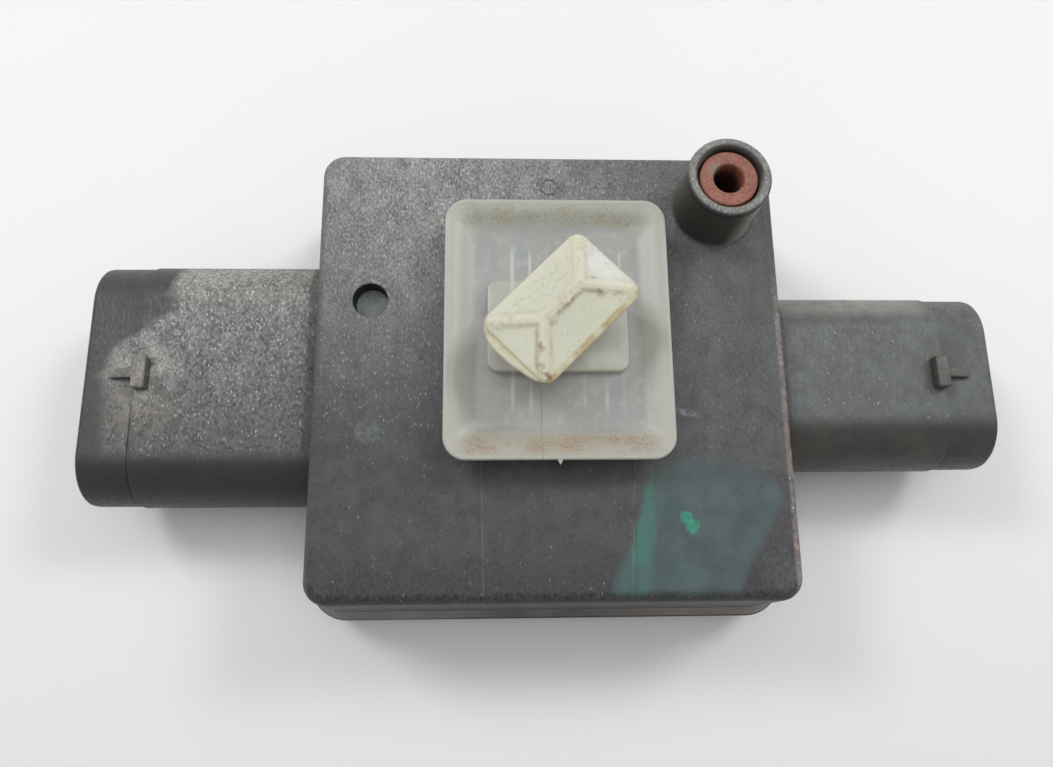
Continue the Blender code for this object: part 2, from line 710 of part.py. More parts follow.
def make_clip():
    """One translucent moulding: hooks round the rail, floor, flared dish, boss, neck and turned head."""
    rail_top = RAIL_NECK_HEIGHT + RAIL_HEAD_THICKNESS
    floor_bottom = rail_top + RUNNING_GAP
    floor_top = floor_bottom + FLOOR_THICKNESS
    hook_inner = RAIL_HEAD_WIDTH / 2 + RUNNING_GAP
    hook_outer = hook_inner + HOOK_WALL
    width = 2 * hook_outer
    length = RAIL_LENGTH + 2 * FLOOR_MARGIN
    rim_width = width + 2 * RIM_FLARE
    rim_length = length + 2 * RIM_FLARE
    rim_top = floor_top + RIM_RISE
    land_width = rim_width - 2 * RIM_LAND
    land_length = rim_length - 2 * RIM_LAND
    inner_radius = CLIP_CORNER_RADIUS / 2
    clip = loft(
        "mounting_clip",
        [
            level_ring(floor_bottom, width, length, inner_radius),
            level_ring(rim_top - RIM_LAND, rim_width, rim_length, CLIP_CORNER_RADIUS),
            level_ring(rim_top, rim_width, rim_length, CLIP_CORNER_RADIUS),
            level_ring(rim_top, land_width, land_length, CLIP_CORNER_RADIUS - RIM_LAND),
            level_ring(floor_top, width - 2 * RIM_LAND, length - 2 * RIM_LAND, inner_radius),
        ],
    )
    lip_top = RAIL_NECK_HEIGHT - RUNNING_GAP
    lip_reach = RAIL_NECK_WIDTH / 2 + RUNNING_GAP
    weld = floor_bottom + FLOOR_THICKNESS / 2
    for side in (-1, 1):
        profile = [
            (side * hook_outer, weld),
            (side * hook_inner, weld),
            (side * hook_inner, lip_top),
            (side * lip_reach, lip_top),
            (side * lip_reach, RUNNING_GAP),
            (side * hook_outer, RUNNING_GAP),
        ]
        hook = extrude_profile(
            f"clip_hook_{side}",
            profile,
            lambda u, v, far: (u, far, v),
            -RAIL_LENGTH / 2,
            RAIL_LENGTH / 2,
        )
        hook.parent = clip
        join(clip, hook)

    boss_top = floor_top + BOSS_HEIGHT
    boss = loft(
        "clip_boss",
        [
            level_ring(weld, BOSS_LENGTH, BOSS_WIDTH, BOSS_CORNER_RADIUS),
            level_ring(boss_top, BOSS_LENGTH, BOSS_WIDTH, BOSS_CORNER_RADIUS),
        ],
    )
    head_bottom = boss_top + HEAD_LIFT
    eave = head_bottom + HEAD_EDGE
    neck = turned(
        "clip_neck",
        [(NECK_RADIUS, boss_top - BOSS_HEIGHT / 2), (NECK_RADIUS, head_bottom + HEAD_EDGE / 2)],
    )
    ridge_length = HEAD_LENGTH - HEAD_WIDTH + HEAD_RIDGE_WIDTH
    head = loft(
        "clip_head",
        [
            level_ring(head_bottom, HEAD_LENGTH, HEAD_WIDTH, HEAD_CORNER_RADIUS),
            level_ring(eave, HEAD_LENGTH, HEAD_WIDTH, HEAD_CORNER_RADIUS),
            level_ring(eave + HEAD_ROOF_RISE, ridge_length, HEAD_RIDGE_WIDTH, HEAD_RIDGE_WIDTH / 3),
        ],
    )
    head.rotation_euler = (0, 0, HEAD_TURN)
    for helper in (boss, neck, head):
        helper.parent = clip
        join(clip, helper)
    clip.location = (CLIP_X, CLIP_Y, HOUSING_TOP)
    finish(clip, CLIP_WHITE, 0.4)


def make_package(name, place, size, colour, metallic=0.0):
    """A moulded or canned component with a bevelled top, standing on the board."""
    width, length, height = size
    edge = PACKAGE_EDGE
    package = loft(
        name,
        [
            level_ring(PART_SEAT, width, length, edge),
            level_ring(PART_SEAT + height - edge, width, length, edge),
            level_ring(PART_SEAT + height, width - 2 * edge, length - 2 * edge, edge),
        ],
    )
    package.location = (*place, 0)
    finish(package, colour, 0.5, metallic)


def make_board_parts():
    processor_size = (PROCESSOR_SIDE, PROCESSOR_SIDE, PROCESSOR_HEIGHT)
    driver_size = (DRIVER_WIDTH, DRIVER_LENGTH, DRIVER_HEIGHT)
    crystal_size = (CRYSTAL_WIDTH, CRYSTAL_LENGTH, CRYSTAL_HEIGHT)
    inductor_size = (INDUCTOR_SIDE, INDUCTOR_SIDE, INDUCTOR_HEIGHT)
    diode_size = (DIODE_WIDTH, DIODE_LENGTH, DIODE_HEIGHT)
    make_package("processor_chip", PROCESSOR_PLACE, processor_size, PACKAGE_BLACK)
    make_package("driver_chip", DRIVER_PLACE, driver_size, PACKAGE_BLACK)
    make_package("clock_crystal", CRYSTAL_PLACE, crystal_size, TIN, 1.0)
    make_package("filter_inductor", INDUCTOR_PLACE, inductor_size, FERRITE)
    make_package("protection_diode", DIODE_PLACE, diode_size, PACKAGE_BLACK)

    flange = (TRANSFORMER_SIDE, TRANSFORMER_SIDE, PACKAGE_EDGE)
    waist_side = TRANSFORMER_SIDE - 2 * TRANSFORMER_WAIST
    waist = (waist_side, waist_side, PACKAGE_EDGE)
    top = PART_SEAT + TRANSFORMER_HEIGHT
    transformer = loft(
        "drive_transformer",
        [
            level_ring(PART_SEAT, *flange),
            level_ring(PART_SEAT + TRANSFORMER_FLANGE, *flange),
            level_ring(PART_SEAT + TRANSFORMER_FLANGE, *waist),
            level_ring(top - TRANSFORMER_FLANGE, *waist),
            level_ring(top - TRANSFORMER_FLANGE, *flange),
            level_ring(top, *flange),
        ],
    )
    transformer.location = (*TRANSFORMER_PLACE, 0)
    finish(transformer, FERRITE, 0.6)

    groove = PART_SEAT + CAPACITOR_GROOVE_HEIGHT
    capacitor = turned(
        "storage_capacitor",
        [
            (CAPACITOR_RADIUS, PART_SEAT),
            (CAPACITOR_RADIUS, groove - CAPACITOR_GROOVE_DEPTH),
            (CAPACITOR_RADIUS - CAPACITOR_GROOVE_DEPTH, groove),
            (CAPACITOR_RADIUS, groove + CAPACITOR_GROOVE_DEPTH),
            (CAPACITOR_RADIUS, PART_SEAT + CAPACITOR_HEIGHT - CAPACITOR_GROOVE_DEPTH),
            (CAPACITOR_RADIUS - CAPACITOR_GROOVE_DEPTH, PART_SEAT + CAPACITOR_HEIGHT),
        ],
    )
    capacitor.location = (*CAPACITOR_PLACE, 0)
    finish(capacitor, TIN, 0.35, 1.0)


def pin_rows(count):
    """Places across the socket of a row of pins, centred."""
    return [(number - (count - 1) / 2) * PIN_PITCH for number in range(count)]


left_ys = pin_rows(LEFT_PIN_COUNT)
right_ys = pin_rows(RIGHT_PIN_COUNT)
make_housing()
make_socket("left_socket", -1, LEFT_SOCKET_WIDTH, LEFT_MOUTH_X, left_ys)
make_socket("right_socket", 1, RIGHT_SOCKET_WIDTH, RIGHT_MOUTH_X, right_ys)
for number, y in enumerate(left_ys, 1):
    make_pin(f"left_pin_{number}", -1, LEFT_MOUTH_X, y)
for number, y in enumerate(right_ys, 1):
    make_pin(f"right_pin_{number}", 1, RIGHT_MOUTH_X, y)
make_board([(-PIN_LEG_X, y) for y in left_ys] + [(PIN_LEG_X, y) for y in right_ys])
make_board_parts()
make_port_parts()
make_cover()
make_clip()
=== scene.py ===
"""Looks of a used sensor module: grey case, two plug sockets, port tube with a red seal, and milky clip."""

import math

import bmesh
import bpy
from mathutils import Matrix, Vector


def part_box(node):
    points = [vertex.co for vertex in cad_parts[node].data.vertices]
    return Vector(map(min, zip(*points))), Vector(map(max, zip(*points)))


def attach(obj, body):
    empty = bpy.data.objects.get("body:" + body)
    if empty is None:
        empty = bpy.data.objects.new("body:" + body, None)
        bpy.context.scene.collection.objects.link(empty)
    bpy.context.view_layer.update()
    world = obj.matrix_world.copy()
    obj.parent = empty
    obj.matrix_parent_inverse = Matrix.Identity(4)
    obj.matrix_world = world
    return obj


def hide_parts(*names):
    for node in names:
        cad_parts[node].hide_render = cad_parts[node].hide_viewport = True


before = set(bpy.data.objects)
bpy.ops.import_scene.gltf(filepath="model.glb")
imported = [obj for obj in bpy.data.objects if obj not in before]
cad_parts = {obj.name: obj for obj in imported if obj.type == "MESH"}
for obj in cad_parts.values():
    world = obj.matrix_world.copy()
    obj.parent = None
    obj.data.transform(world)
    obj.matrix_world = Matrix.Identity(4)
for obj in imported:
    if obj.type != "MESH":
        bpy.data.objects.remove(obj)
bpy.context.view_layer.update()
mm = 0.001


# Bottom cover
# A black plate moulded in glass-filled plastic. Its tongue plugs into the case from below, and the plate is
# bonded there on the seal, so only its rim and its flat underside show.
def outline(width, length, radius, steps=12):
    """A rectangle with rounded corners about the origin, anticlockwise, as (across, along) pairs."""
    points = []
    for quarter in range(4):
        across = (width / 2 - radius) * (1 if quarter in (0, 3) else -1)
        along = (length / 2 - radius) * (1 if quarter in (0, 1) else -1)
        for step in range(steps + 1):
            angle = (quarter + step / steps) * math.pi / 2
            points.append((across + radius * math.cos(angle), along + radius * math.sin(angle)))
    return points


def flat_ring(z, width, length, radius):
    """That rectangle lying flat at height z."""
    return [Vector((x, y, z)) for x, y in outline(width, length, radius)]


def loft(rings, looped=False):
    """A skin through rings of equal count, capped at its ends or, if looped, closed from last to first."""
    form = bmesh.new()
    loops = [[form.verts.new(point) for point in ring] for ring in rings]
    pairs = list(zip(loops, loops[1:]))
    if looped:
        pairs.append((loops[-1], loops[0]))
    else:
        form.faces.new(loops[0])
        form.faces.new(loops[-1])
    count = len(loops[0])
    for lower, upper in pairs:
        for i in range(count):
            j = (i + 1) % count
            form.faces.new((lower[i], lower[j], upper[j], upper[i]))
    bmesh.ops.recalc_face_normals(form, faces=form.faces)
    return form


def as_object(name, form):
    """Puts a bmesh into the scene as an object at the origin."""
    mesh = bpy.data.meshes.new(name)
    form.to_mesh(mesh)
    form.free()
    made = bpy.data.objects.new(name, mesh)
    bpy.context.collection.objects.link(made)
    return made


def finished(made, material, sharp=32):
    """Gives a piece its material, smooth over its curves and crisp at its corners."""
    made.data.materials.clear()
    made.data.materials.append(material)
    made.data.shade_smooth()
    made.data.set_sharp_from_angle(angle=math.radians(sharp))
    return made


def fill(tree, made, inputs):
    """Fills a node's inputs with values or with other nodes' outputs."""
    for name, value in inputs.items():
        if isinstance(value, bpy.types.NodeSocket):
            tree.links.new(value, made.inputs[name])
        else:
            made.inputs[name].default_value = value


def node(tree, kind, inputs=None, **settings):
    """Adds a node with its settings and fills its inputs."""
    made = tree.nodes.new(kind)
    for name, value in settings.items():
        setattr(made, name, value)
    fill(tree, made, inputs or {})
    return made


def calc(operation, *values):
    """The result of a Math node, in the tree of the first socket among its values."""
    tree = next(value.id_data for value in values if isinstance(value, bpy.types.NodeSocket))
    return node(tree, "ShaderNodeMath", dict(enumerate(values)), operation=operation).outputs[0]


def between(value, low, high):
    """A smooth mask that goes from 0 at low to 1 at high, or falls where low is the larger."""
    made = node(
        value.id_data,
        "ShaderNodeMapRange",
        {"Value": value, "From Min": low, "From Max": high},
        interpolation_type="SMOOTHSTEP",
    )
    return made.outputs["Result"]


def mixed(mask, under, over):
    """One colour laid over another through a mask."""
    made = node(mask.id_data, "ShaderNodeMix", {0: mask, 6: under, 7: over}, data_type="RGBA")
    return made.outputs[2]


def product(*values):
    """All these values multiplied together."""
    result = values[0]
    for value in values[1:]:
        result = calc("MULTIPLY", result, value)
    return result


def layer(tone, colour, *masks):
    """A colour laid over a tone through all these masks together."""
    return mixed(product(*masks), tone, (*colour, 1.0))


def scaled(value, factor, base):
    """A value times a factor, on top of a base."""
    return calc("MULTIPLY_ADD", value, factor, base)


def noise(vector, scale, detail=3.0):
    """A cloudy value from 0 to 1 with about this many clouds in a metre."""
    made = node(vector.id_data, "ShaderNodeTexNoise", {"Vector": vector, "Scale": scale, "Detail": detail})
    return made.outputs["Fac"]


def blotches(vector, scale, detail, low, high):
    """A mask of the clouds between two levels."""
    return between(noise(vector, scale, detail), low, high)


def start_material(name, roughness, metallic=0.0):
    """A new material: its node tree, its shader, and the piece's coordinates as a vector and as X, Y, Z."""
    material = bpy.data.materials.new(name)
    material.use_nodes = True
    tree = material.node_tree
    shader = tree.nodes["Principled BSDF"]
    shader.inputs["Roughness"].default_value = roughness
    shader.inputs["Metallic"].default_value = metallic
    place = node(tree, "ShaderNodeTexCoord").outputs["Object"]
    axes = node(tree, "ShaderNodeSeparateXYZ", {0: place}).outputs
    return material, tree, shader, place, *axes


def start_group(name, inputs, outputs):
    """A new shader group with number inputs and outputs: the group, its inputs and its output node."""
    group = bpy.data.node_groups.new(name, "ShaderNodeTree")
    for label, value in inputs.items():
        group.interface.new_socket(label, in_out="INPUT", socket_type="NodeSocketFloat").default_value = value
    for label in outputs:
        group.interface.new_socket(label, in_out="OUTPUT", socket_type="NodeSocketFloat")
    return group, group.nodes.new("NodeGroupInput").outputs, group.nodes.new("NodeGroupOutput").inputs


def place_group(tree, group, **values):
    """Places a group in a material with its own values, and returns its outputs."""
    made = node(tree, "ShaderNodeGroup", node_tree=group)
    fill(tree, made, {name.replace("_", " ").title(): value for name, value in values.items()})
    return made.outputs


def give_colour(shader, tone):
    """Makes a tone the colour of a surface."""
    shader.id_data.links.new(tone, shader.inputs["Base Color"])


def give_relief(shader, height, depth):
    """Raises a surface by a height value, depth metres at the most."""
    tree = shader.id_data
    bump = node(tree, "ShaderNodeBump", {"Height": height, "Distance": depth, "Strength": 1.0})
    tree.links.new(bump.outputs["Normal"], shader.inputs["Normal"])


grain_group, grain_in, grain_out = start_group(
    "moulded_grain",
    {"Grain Scale": 3000.0, "Fleck Share": 0.2},
    ("Cloud", "Sand", "Fleck", "Height"),
)
place = node(grain_group, "ShaderNodeTexCoord").outputs["Object"]
drawn_out = node(grain_group, "ShaderNodeMapping", {"Vector": place, "Scale": (1.0, 0.5, 1.0)}).outputs[0]
sand = noise(drawn_out, product(grain_in["Grain Scale"], 0.85), 6.0)
cloud = noise(place, product(grain_in["Grain Scale"], 0.12), 5.0)
cells = node(grain_group, "ShaderNodeTexVoronoi", {"Vector": drawn_out, "Scale": grain_in["Grain Scale"]})
chance = node(grain_group, "ShaderNodeSeparateColor", {0: cells.outputs["Color"]}).outputs
chosen = calc("LESS_THAN", chance[0], grain_in["Fleck Share"])
reach = scaled(chance[1], 0.26, 0.16)
grit_spot = between(cells.outputs["Distance"], reach, product(reach, 0.4))
shine = scaled(calc("POWER", chance[2], 3.0), 0.9, 0.1)
shard = noise(drawn_out, product(grain_in["Grain Scale"], 0.9), 2.0)
shard = calc("ADD", shard, product(grain_in["Fleck Share"], 0.13))
shard = product(between(shard, 0.68, 0.80), 0.45)
fleck = calc("MAXIMUM", product(chosen, grit_spot, shine), shard)
grain_group.links.new(between(cloud, 0.3, 0.7), grain_out["Cloud"])
grain_group.links.new(between(sand, 0.34, 0.66), grain_out["Sand"])
grain_group.links.new(fleck, grain_out["Fleck"])
grain_group.links.new(scaled(fleck, 0.4, sand), grain_out["Height"])

cover_low, cover_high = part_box("bottom_cover")
cover_width = cover_high.x - cover_low.x
cover_length = cover_high.y - cover_low.y
cover_corner = 4.1 * mm
foot_rounding = 0.5 * mm
plate_edge = 0.15 * mm
plate_top = 2.2 * mm
tongue = (47.2 * mm, 45.7 * mm, 1.5 * mm)
well = (44.8 * mm, 43.3 * mm, 1.5 * mm)
rings = []
for step in range(5):
    angle = step / 4 * math.pi / 2
    inset = foot_rounding * (1 - math.sin(angle))
    ring_z = foot_rounding * (1 - math.cos(angle))
    rings.append(flat_ring(ring_z, cover_width - 2 * inset, cover_length - 2 * inset, cover_corner - inset))
rings += [
    flat_ring(plate_top - plate_edge, cover_width, cover_length, cover_corner),
    flat_ring(
        plate_top, cover_width - 2 * plate_edge, cover_length - 2 * plate_edge, cover_corner - plate_edge
    ),
    flat_ring(plate_top, *tongue),
    flat_ring(cover_high.z, *tongue),
    flat_ring(cover_high.z, *well),
    flat_ring(plate_top, *well),
]
cover_black, tree, shader, place, x, y, z = start_material("cover_black", 0.62)
grain = place_group(tree, grain_group, grain_scale=2400.0, fleck_share=0.05)
tone = mixed(grain["Cloud"], (0.024, 0.024, 0.026, 1), (0.040, 0.039, 0.038, 1))
tone = layer(tone, (0.080, 0.080, 0.080), grain["Sand"], 0.2)
scuffs = blotches(place, 260.0, 6.0, 0.58, 0.72)
tone = layer(tone, (0.13, 0.125, 0.118), scuffs, 0.35)
tone = layer(tone, (0.24, 0.24, 0.24), grain["Fleck"], 0.4)
give_colour(shader, tone)
give_relief(shader, grain["Height"], 0.02 * mm)
cover = finished(as_object("cover_plate", loft(rings)), cover_black)
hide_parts("bottom_cover")
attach(cover, "case")


# Cover seal
# A flat black rubber gasket, die-cut, squeezed between the cover and the foot of the case. Its edge bulges a
# little, and shows as a dark line all round.
seal_low, seal_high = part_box("cover_seal")
seal_width = seal_high.x - seal_low.x
seal_length = seal_high.y - seal_low.y
seal_middle = (seal_low.z + seal_high.z) / 2
seal_corner = 3.8 * mm
bulge = 0.1 * mm
seal_flat = (seal_width - 2 * bulge, seal_length - 2 * bulge, seal_corner - bulge)
seal_hole = (47.6 * mm, 46.1 * mm, 1.5 * mm)
rings = [
    flat_ring(seal_low.z, *seal_flat),
    flat_ring(seal_middle, seal_width, seal_length, seal_corner),
    flat_ring(seal_high.z, *seal_flat),
    flat_ring(seal_high.z, *seal_hole),
    flat_ring(seal_low.z, *seal_hole),
]


def clouded_finish(name, roughness, clouds, dark, pale, grain_scale, depth):
    """A matt material that goes from a dark to a pale tone in clouds, with a fine grain of this depth."""
    material, tree, shader, place, x, y, z = start_material(name, roughness)
    give_colour(shader, mixed(noise(place, *clouds), (*dark, 1.0), (*pale, 1.0)))
    give_relief(shader, noise(place, grain_scale), depth)
    return material


seal_tones = (0.008, 0.008, 0.009), (0.022, 0.021, 0.020)
seal_black = clouded_finish("seal_black", 0.75, (900.0, 5.0), *seal_tones, 4000.0, 0.01 * mm)
seal = finished(as_object("cover_gasket", loft(rings, looped=True)), seal_black)
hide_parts("cover_seal")
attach(seal, "case")


# Housing
# The case, moulded in dark grey plastic filled with glass, whose fibres glitter where the skin is worn. It is
# one moulding with the port tube and the clip's rail, and open below, with four screw posts inside.
deck = 20.0 * mm
foot = 3.0 * mm
case_width = 52.0 * mm
case_length = 50.5 * mm
corner = 2.5 * mm
top_fillet = 1.2 * mm
ceiling = deck - 2.8 * mm
clip_place = Vector((0.35 * mm, 3.2 * mm, deck))
port_axis = (18.7, 18.55)
recess_axis = (-20.0, 7.4)
socket_axis = 10.1
socket_height = 11.8
socket_corner = 5.6


def spot(place, z):
    """A point at height z, from its place seen from above in millimetres."""
    return Vector((place[0] * mm, place[1] * mm, z))


def turned(profile, centre, steps=64, looped=False):
    """A round solid about an upright axis, from (radius, height) pairs in millimetres above the centre."""
    turns = [step / steps * math.tau for step in range(steps)]
    rings = [[centre + Vector((r * math.cos(t), r * math.sin(t), z)) * mm for t in turns] for r, z in profile]
    return loft(rings, looped)


def block(low, high, rounding=0.0):
    """A box between two corners, with its edges rounded."""
    form = bmesh.new()
    bmesh.ops.create_cube(form, size=1.0)
    size = Vector(high) - Vector(low)
    bmesh.ops.scale(form, vec=size, verts=form.verts)
    bmesh.ops.translate(form, vec=Vector(low) + size / 2, verts=form.verts)
    if rounding:
        bmesh.ops.bevel(form, geom=form.edges[:], offset=rounding, segments=3, profile=0.5, affect="EDGES")
    return form


def worked(target, joined=(), cut=()):
    """Joins solids to a piece, then cuts others from it, and leaves one plain mesh."""
    helpers = []
    for operation, forms in (("UNION", joined), ("DIFFERENCE", cut)):
        for form in forms:
            helper = as_object("helper", form)
            step = target.modifiers.new(operation, "BOOLEAN")
            step.operation = operation
            step.object = helper
            helpers.append(helper)
    graph = bpy.context.evaluated_depsgraph_get()
    mesh = bpy.data.meshes.new_from_object(target.evaluated_get(graph))
    target.modifiers.clear()
    target.data = mesh
    for helper in helpers:
        bpy.data.objects.remove(helper)
    return target


def case_ring(z, spread):
    """The case's outline at height z, spread out from its top outline."""
    return flat_ring(z, case_width + 2 * spread, case_length + 2 * spread, corner + spread)


lip_profile = (
    (0.0, 1.8), (0.2, 2.0), (3.2, 2.0), (3.45, 1.93), (3.65, 1.75), (3.95, 1.30), (4.15, 1.08),
    (4.50, 0.97),
)
rings = [case_ring(foot + rise * mm, spread * mm) for rise, spread in lip_profile]
for step in range(9):
    angle = step / 8 * math.pi / 2
    inset = top_fillet * (1 - math.cos(angle))
    rings.append(case_ring(deck - top_fillet * (1 - math.sin(angle)), -inset))
rings.append(case_ring(deck, -top_fillet - 0.06 * mm))
housing = as_object("grey_case", loft(rings))

posts = ((-19.1, -19.05), (19.1, -19.05), (-19.1, 19.05), (10.5, 19.05))
rail_half = 10.8 * mm
rail_end = rail_half + 1.5 * mm
rail_neck = 4.5 * mm
rail_head = 7.75 * mm
rail_foot = -1.0 * mm
rail_shelf = 1.0 * mm
rail_top = 2.0 * mm
stop_front = rail_end - 1.2 * mm
stop_top = 1.5 * mm
rail_shapes = [
    block((-rail_neck, -rail_half, rail_foot), (rail_neck, rail_end, stop_top)),
    block((-rail_head, -rail_half, rail_shelf), (rail_head, rail_end, rail_top), 0.08 * mm),
    block((-rail_head, stop_front, rail_foot), (rail_head, rail_end, stop_top)),
]
for shape in rail_shapes:
    bmesh.ops.translate(shape, vec=clip_place, verts=shape.verts)
tube = turned(
    [
        (5.15, -0.4), (5.06, 0.0), (4.82, 0.10), (4.63, 0.28), (4.54, 0.55), (4.50, 1.0), (4.50, 7.00),
        (4.54, 7.55), (4.50, 7.75), (4.39, 7.90), (4.22, 7.98), (4.05, 8.0),
    ],
    spot(port_axis, deck),
)
bore = turned(
    [
        (2.1, -4.0), (2.1, 1.4), (3.42, 1.4), (3.42, 6.0), (3.36, 6.9), (3.38, 7.40), (3.46, 7.70),
        (3.66, 7.90), (3.88, 8.02), (3.88, 9.2),
    ],
    spot(port_axis, deck),
)
recess = turned(
    [(1.55, -2.0), (1.78, -1.95), (1.86, -1.8), (1.92, -0.16), (1.96, -0.06), (2.06, 0.01), (2.06, 0.6)],
    spot(recess_axis, deck),
)
eject_place = spot((0.0, 21.1), deck)
eject_pin = turned([(1.0, -0.10), (1.06, 0.3)], eject_place)
eject_island = turned([(0.9, -0.3), (0.86, 0.02)], eject_place)
eject_disc = turned([(1.5, -0.05), (1.55, 0.3)], spot((-19.9, -7.4), deck))
cavity = loft([flat_ring(z, *seal_hole) for z in (foot - 1 * mm, ceiling)])


def upright_ring(x, width, height, radius, steps=16):
    """A rounded rectangle standing across X, on the sockets' axis."""
    return [Vector((x, y, socket_axis * mm + z)) for y, z in outline(width, height, radius, steps)]


openings = []
for side, width in ((-1, 28.7), (1, 21.2)):
    gap = ((width + 0.3) * mm, (socket_height + 0.3) * mm, (socket_corner + 0.15) * mm)
    openings.append(loft([upright_ring(side * x * mm, *gap) for x in (22.0, 30.0)]))
post_forms = [turned([(2.5, 7.2), (2.5, 18.0)], spot(post, 0), 32) for post in posts]
pilot_forms = [turned([(1.2, 5.0), (1.2, 12.2)], spot(post, 0), 24) for post in posts]
seams = [
    block((x * mm, -24.1 * mm, deck - 0.1 * mm), ((x + 0.1) * mm, -6.0 * mm, deck + 0.03 * mm))
    for x in (-7.95, 8.40)
]
worked(housing, cut=[cavity])
worked(housing, joined=post_forms + rail_shapes + [tube] + seams)
worked(housing, cut=[bore, recess, eject_pin, eject_disc] + openings + pilot_forms)
worked(housing, joined=[eject_island])

dust_group, dust_in, dust_out = start_group(
    "settled_dust",
    {"Amount": 0.5, "Clump Scale": 900.0},
    ("Mask",),
)
place = node(dust_group, "ShaderNodeTexCoord").outputs["Object"]
drawn_out = node(dust_group, "ShaderNodeMapping", {"Vector": place, "Scale": (1.0, 0.5, 1.0)}).outputs[0]
facing = node(dust_group, "ShaderNodeNewGeometry").outputs["Normal"]
upward = between(node(dust_group, "ShaderNodeSeparateXYZ", {0: facing}).outputs["Z"], 0.05, 0.75)
grains = node(
    dust_group,
    "ShaderNodeTexNoise",
    {"Vector": drawn_out, "Scale": dust_in["Clump Scale"], "Detail": 6.0, "Roughness": 0.66},
)
grains = between(grains.outputs["Fac"], 0.36, 0.66)
clumps = noise(drawn_out, product(dust_in["Clump Scale"], 0.18), 6.0)
clumps = between(clumps, 0.3, 0.7)
patches = noise(place, product(dust_in["Clump Scale"], 0.035), 4.0)
lying = scaled(grains, 0.58, scaled(clumps, 0.30, 0.17))
lying = product(dust_in["Amount"], lying, scaled(patches, 0.6, 0.70), upward)
dust_group.links.new(lying, dust_out["Mask"])


def inside(x, y, corners, soft, ragged):
    """A mask inside a convex shape, given anticlockwise by corners in millimetres, with a ragged edge."""
    mask = 1.0
    for (x0, y0), (x1, y1) in zip(corners, corners[1:] + corners[:1]):
        run = math.hypot(x1 - x0, y1 - y0)
        nx, ny = -(y1 - y0) / run, (x1 - x0) / run
        depth = scaled(x, nx, -(nx * x0 + ny * y0) * mm)
        depth = scaled(y, ny, depth)
        mask = product(mask, between(calc("ADD", depth, ragged), -soft / 2, soft / 2))
    return mask


def round_mask(x, y, centre, radius, soft, ragged=0.0):
    """A mask inside a circle seen from above, in millimetres, with a ragged soft edge."""
    off_x = calc("SUBTRACT", x, centre[0] * mm)
    off_y = calc("SUBTRACT", y, centre[1] * mm)
    reach = calc("SQRT", calc("MULTIPLY_ADD", off_x, off_x, product(off_y, off_y)))
    return between(calc("ADD", reach, ragged), radius * mm, (radius - soft) * mm)


def upward_mask(tree, low, high):
    """A mask of the faces that look up."""
    normal = node(tree, "ShaderNodeNewGeometry").outputs["Normal"]
    return between(node(tree, "ShaderNodeSeparateXYZ", {0: normal}).outputs["Z"], low, high)


def span(value, low, high):
    """The smooth mask between two lengths in millimetres."""
    return between(value, low * mm, high * mm)


def above_deck(z, low, high):
    """The smooth mask between two heights above the deck in millimetres."""
    return between(z, deck + low * mm, deck + high * mm)


def clouded(vector, scale, detail, factor, base):
    """A cloudy value times a factor, on top of a base."""
    return scaled(noise(vector, scale, detail), factor, base)


def apart(value, other):
    """How far two values lie from each other."""
    return calc("ABSOLUTE", calc("SUBTRACT", value, other))


case_grey, tree, shader, place, x, y, z = start_material("case_grey", 0.5)
shader.inputs["Specular IOR Level"].default_value = 0.35
on_top = upward_mask(tree, 0.3, 0.8)
brow = above_deck(z, -2.6, -1.0)
in_port = round_mask(x, y, port_axis, 5.3, 0.2)
rim = product(in_port, above_deck(z, 7.6, 7.9))
# Paler towards the back left: settled dust, and painted sheen where the light from behind catches the deck.
dust_and_sheen = product(span(y, -12, 23), span(x, 26, -10), scaled(span(x, -17, -24), -0.15, 1.0))
sprinkled = product(span(y, -14, -3), span(x, 8, -12), 0.45)
flecked = calc("MAXIMUM", calc("MAXIMUM", dust_and_sheen, sprinkled), product(rim, 0.8))
grain = place_group(tree, grain_group, grain_scale=4300.0, fleck_share=scaled(flecked, 0.75, 0.12))
tone = mixed(grain["Cloud"], (0.029, 0.028, 0.030, 1), (0.053, 0.054, 0.054, 1))
# Painted shade: the deck darker towards its front edge, away from the light.
tone = layer(tone, (0.016, 0.016, 0.017), span(y, -18, -24.5), 0.85)
tone = layer(tone, (0.110, 0.111, 0.112), grain["Sand"], 0.33)
tube_side = product(in_port, above_deck(z, 0.0, 0.6))
facing = node(tree, "ShaderNodeNewGeometry").outputs["Normal"]
facing = node(tree, "ShaderNodeSeparateXYZ", {0: facing}).outputs
tone = layer(tone, (0.058, 0.054, 0.045), tube_side, 0.85)
# Painted light on the tube: a pale reflection on its front right side, and its sides away from the front
# painted paler brown, as lit from behind.
side_reflection = product(between(facing["X"], 0.1, 0.75), between(facing["Y"], 0.0, -0.4))
tone = layer(tone, (0.420, 0.415, 0.350), tube_side, side_reflection, 0.8)
tone = layer(tone, (0.165, 0.150, 0.130), tube_side, between(facing["Y"], -0.55, 0.3), 0.7)
right_dust = product(between(x, 0.0, 22 * mm), span(y, -18, -6))
amount = scaled(right_dust, 0.14, scaled(dust_and_sheen, 0.95, 0.03))
amount = scaled(rim, 0.22, amount)
# The dust layer also carries the painted sheen on the back left of the deck.
dust = place_group(tree, dust_group, amount=amount, clump_scale=4300.0)["Mask"]
dust_tone = mixed(noise(place, 110.0, 3.0), (0.370, 0.400, 0.412, 1), (0.412, 0.408, 0.380, 1))
tone = mixed(dust, tone, dust_tone)
pits = blotches(place, 3400.0, 5.0, 0.52, 0.36)
tone = layer(tone, (0.040, 0.040, 0.042), pits, flecked, on_top, 0.4)
glint = product(grain["Fleck"], scaled(flecked, 0.5, 0.3), scaled(on_top, 0.75, 0.25))
tone = layer(tone, (0.66, 0.67, 0.66), glint)
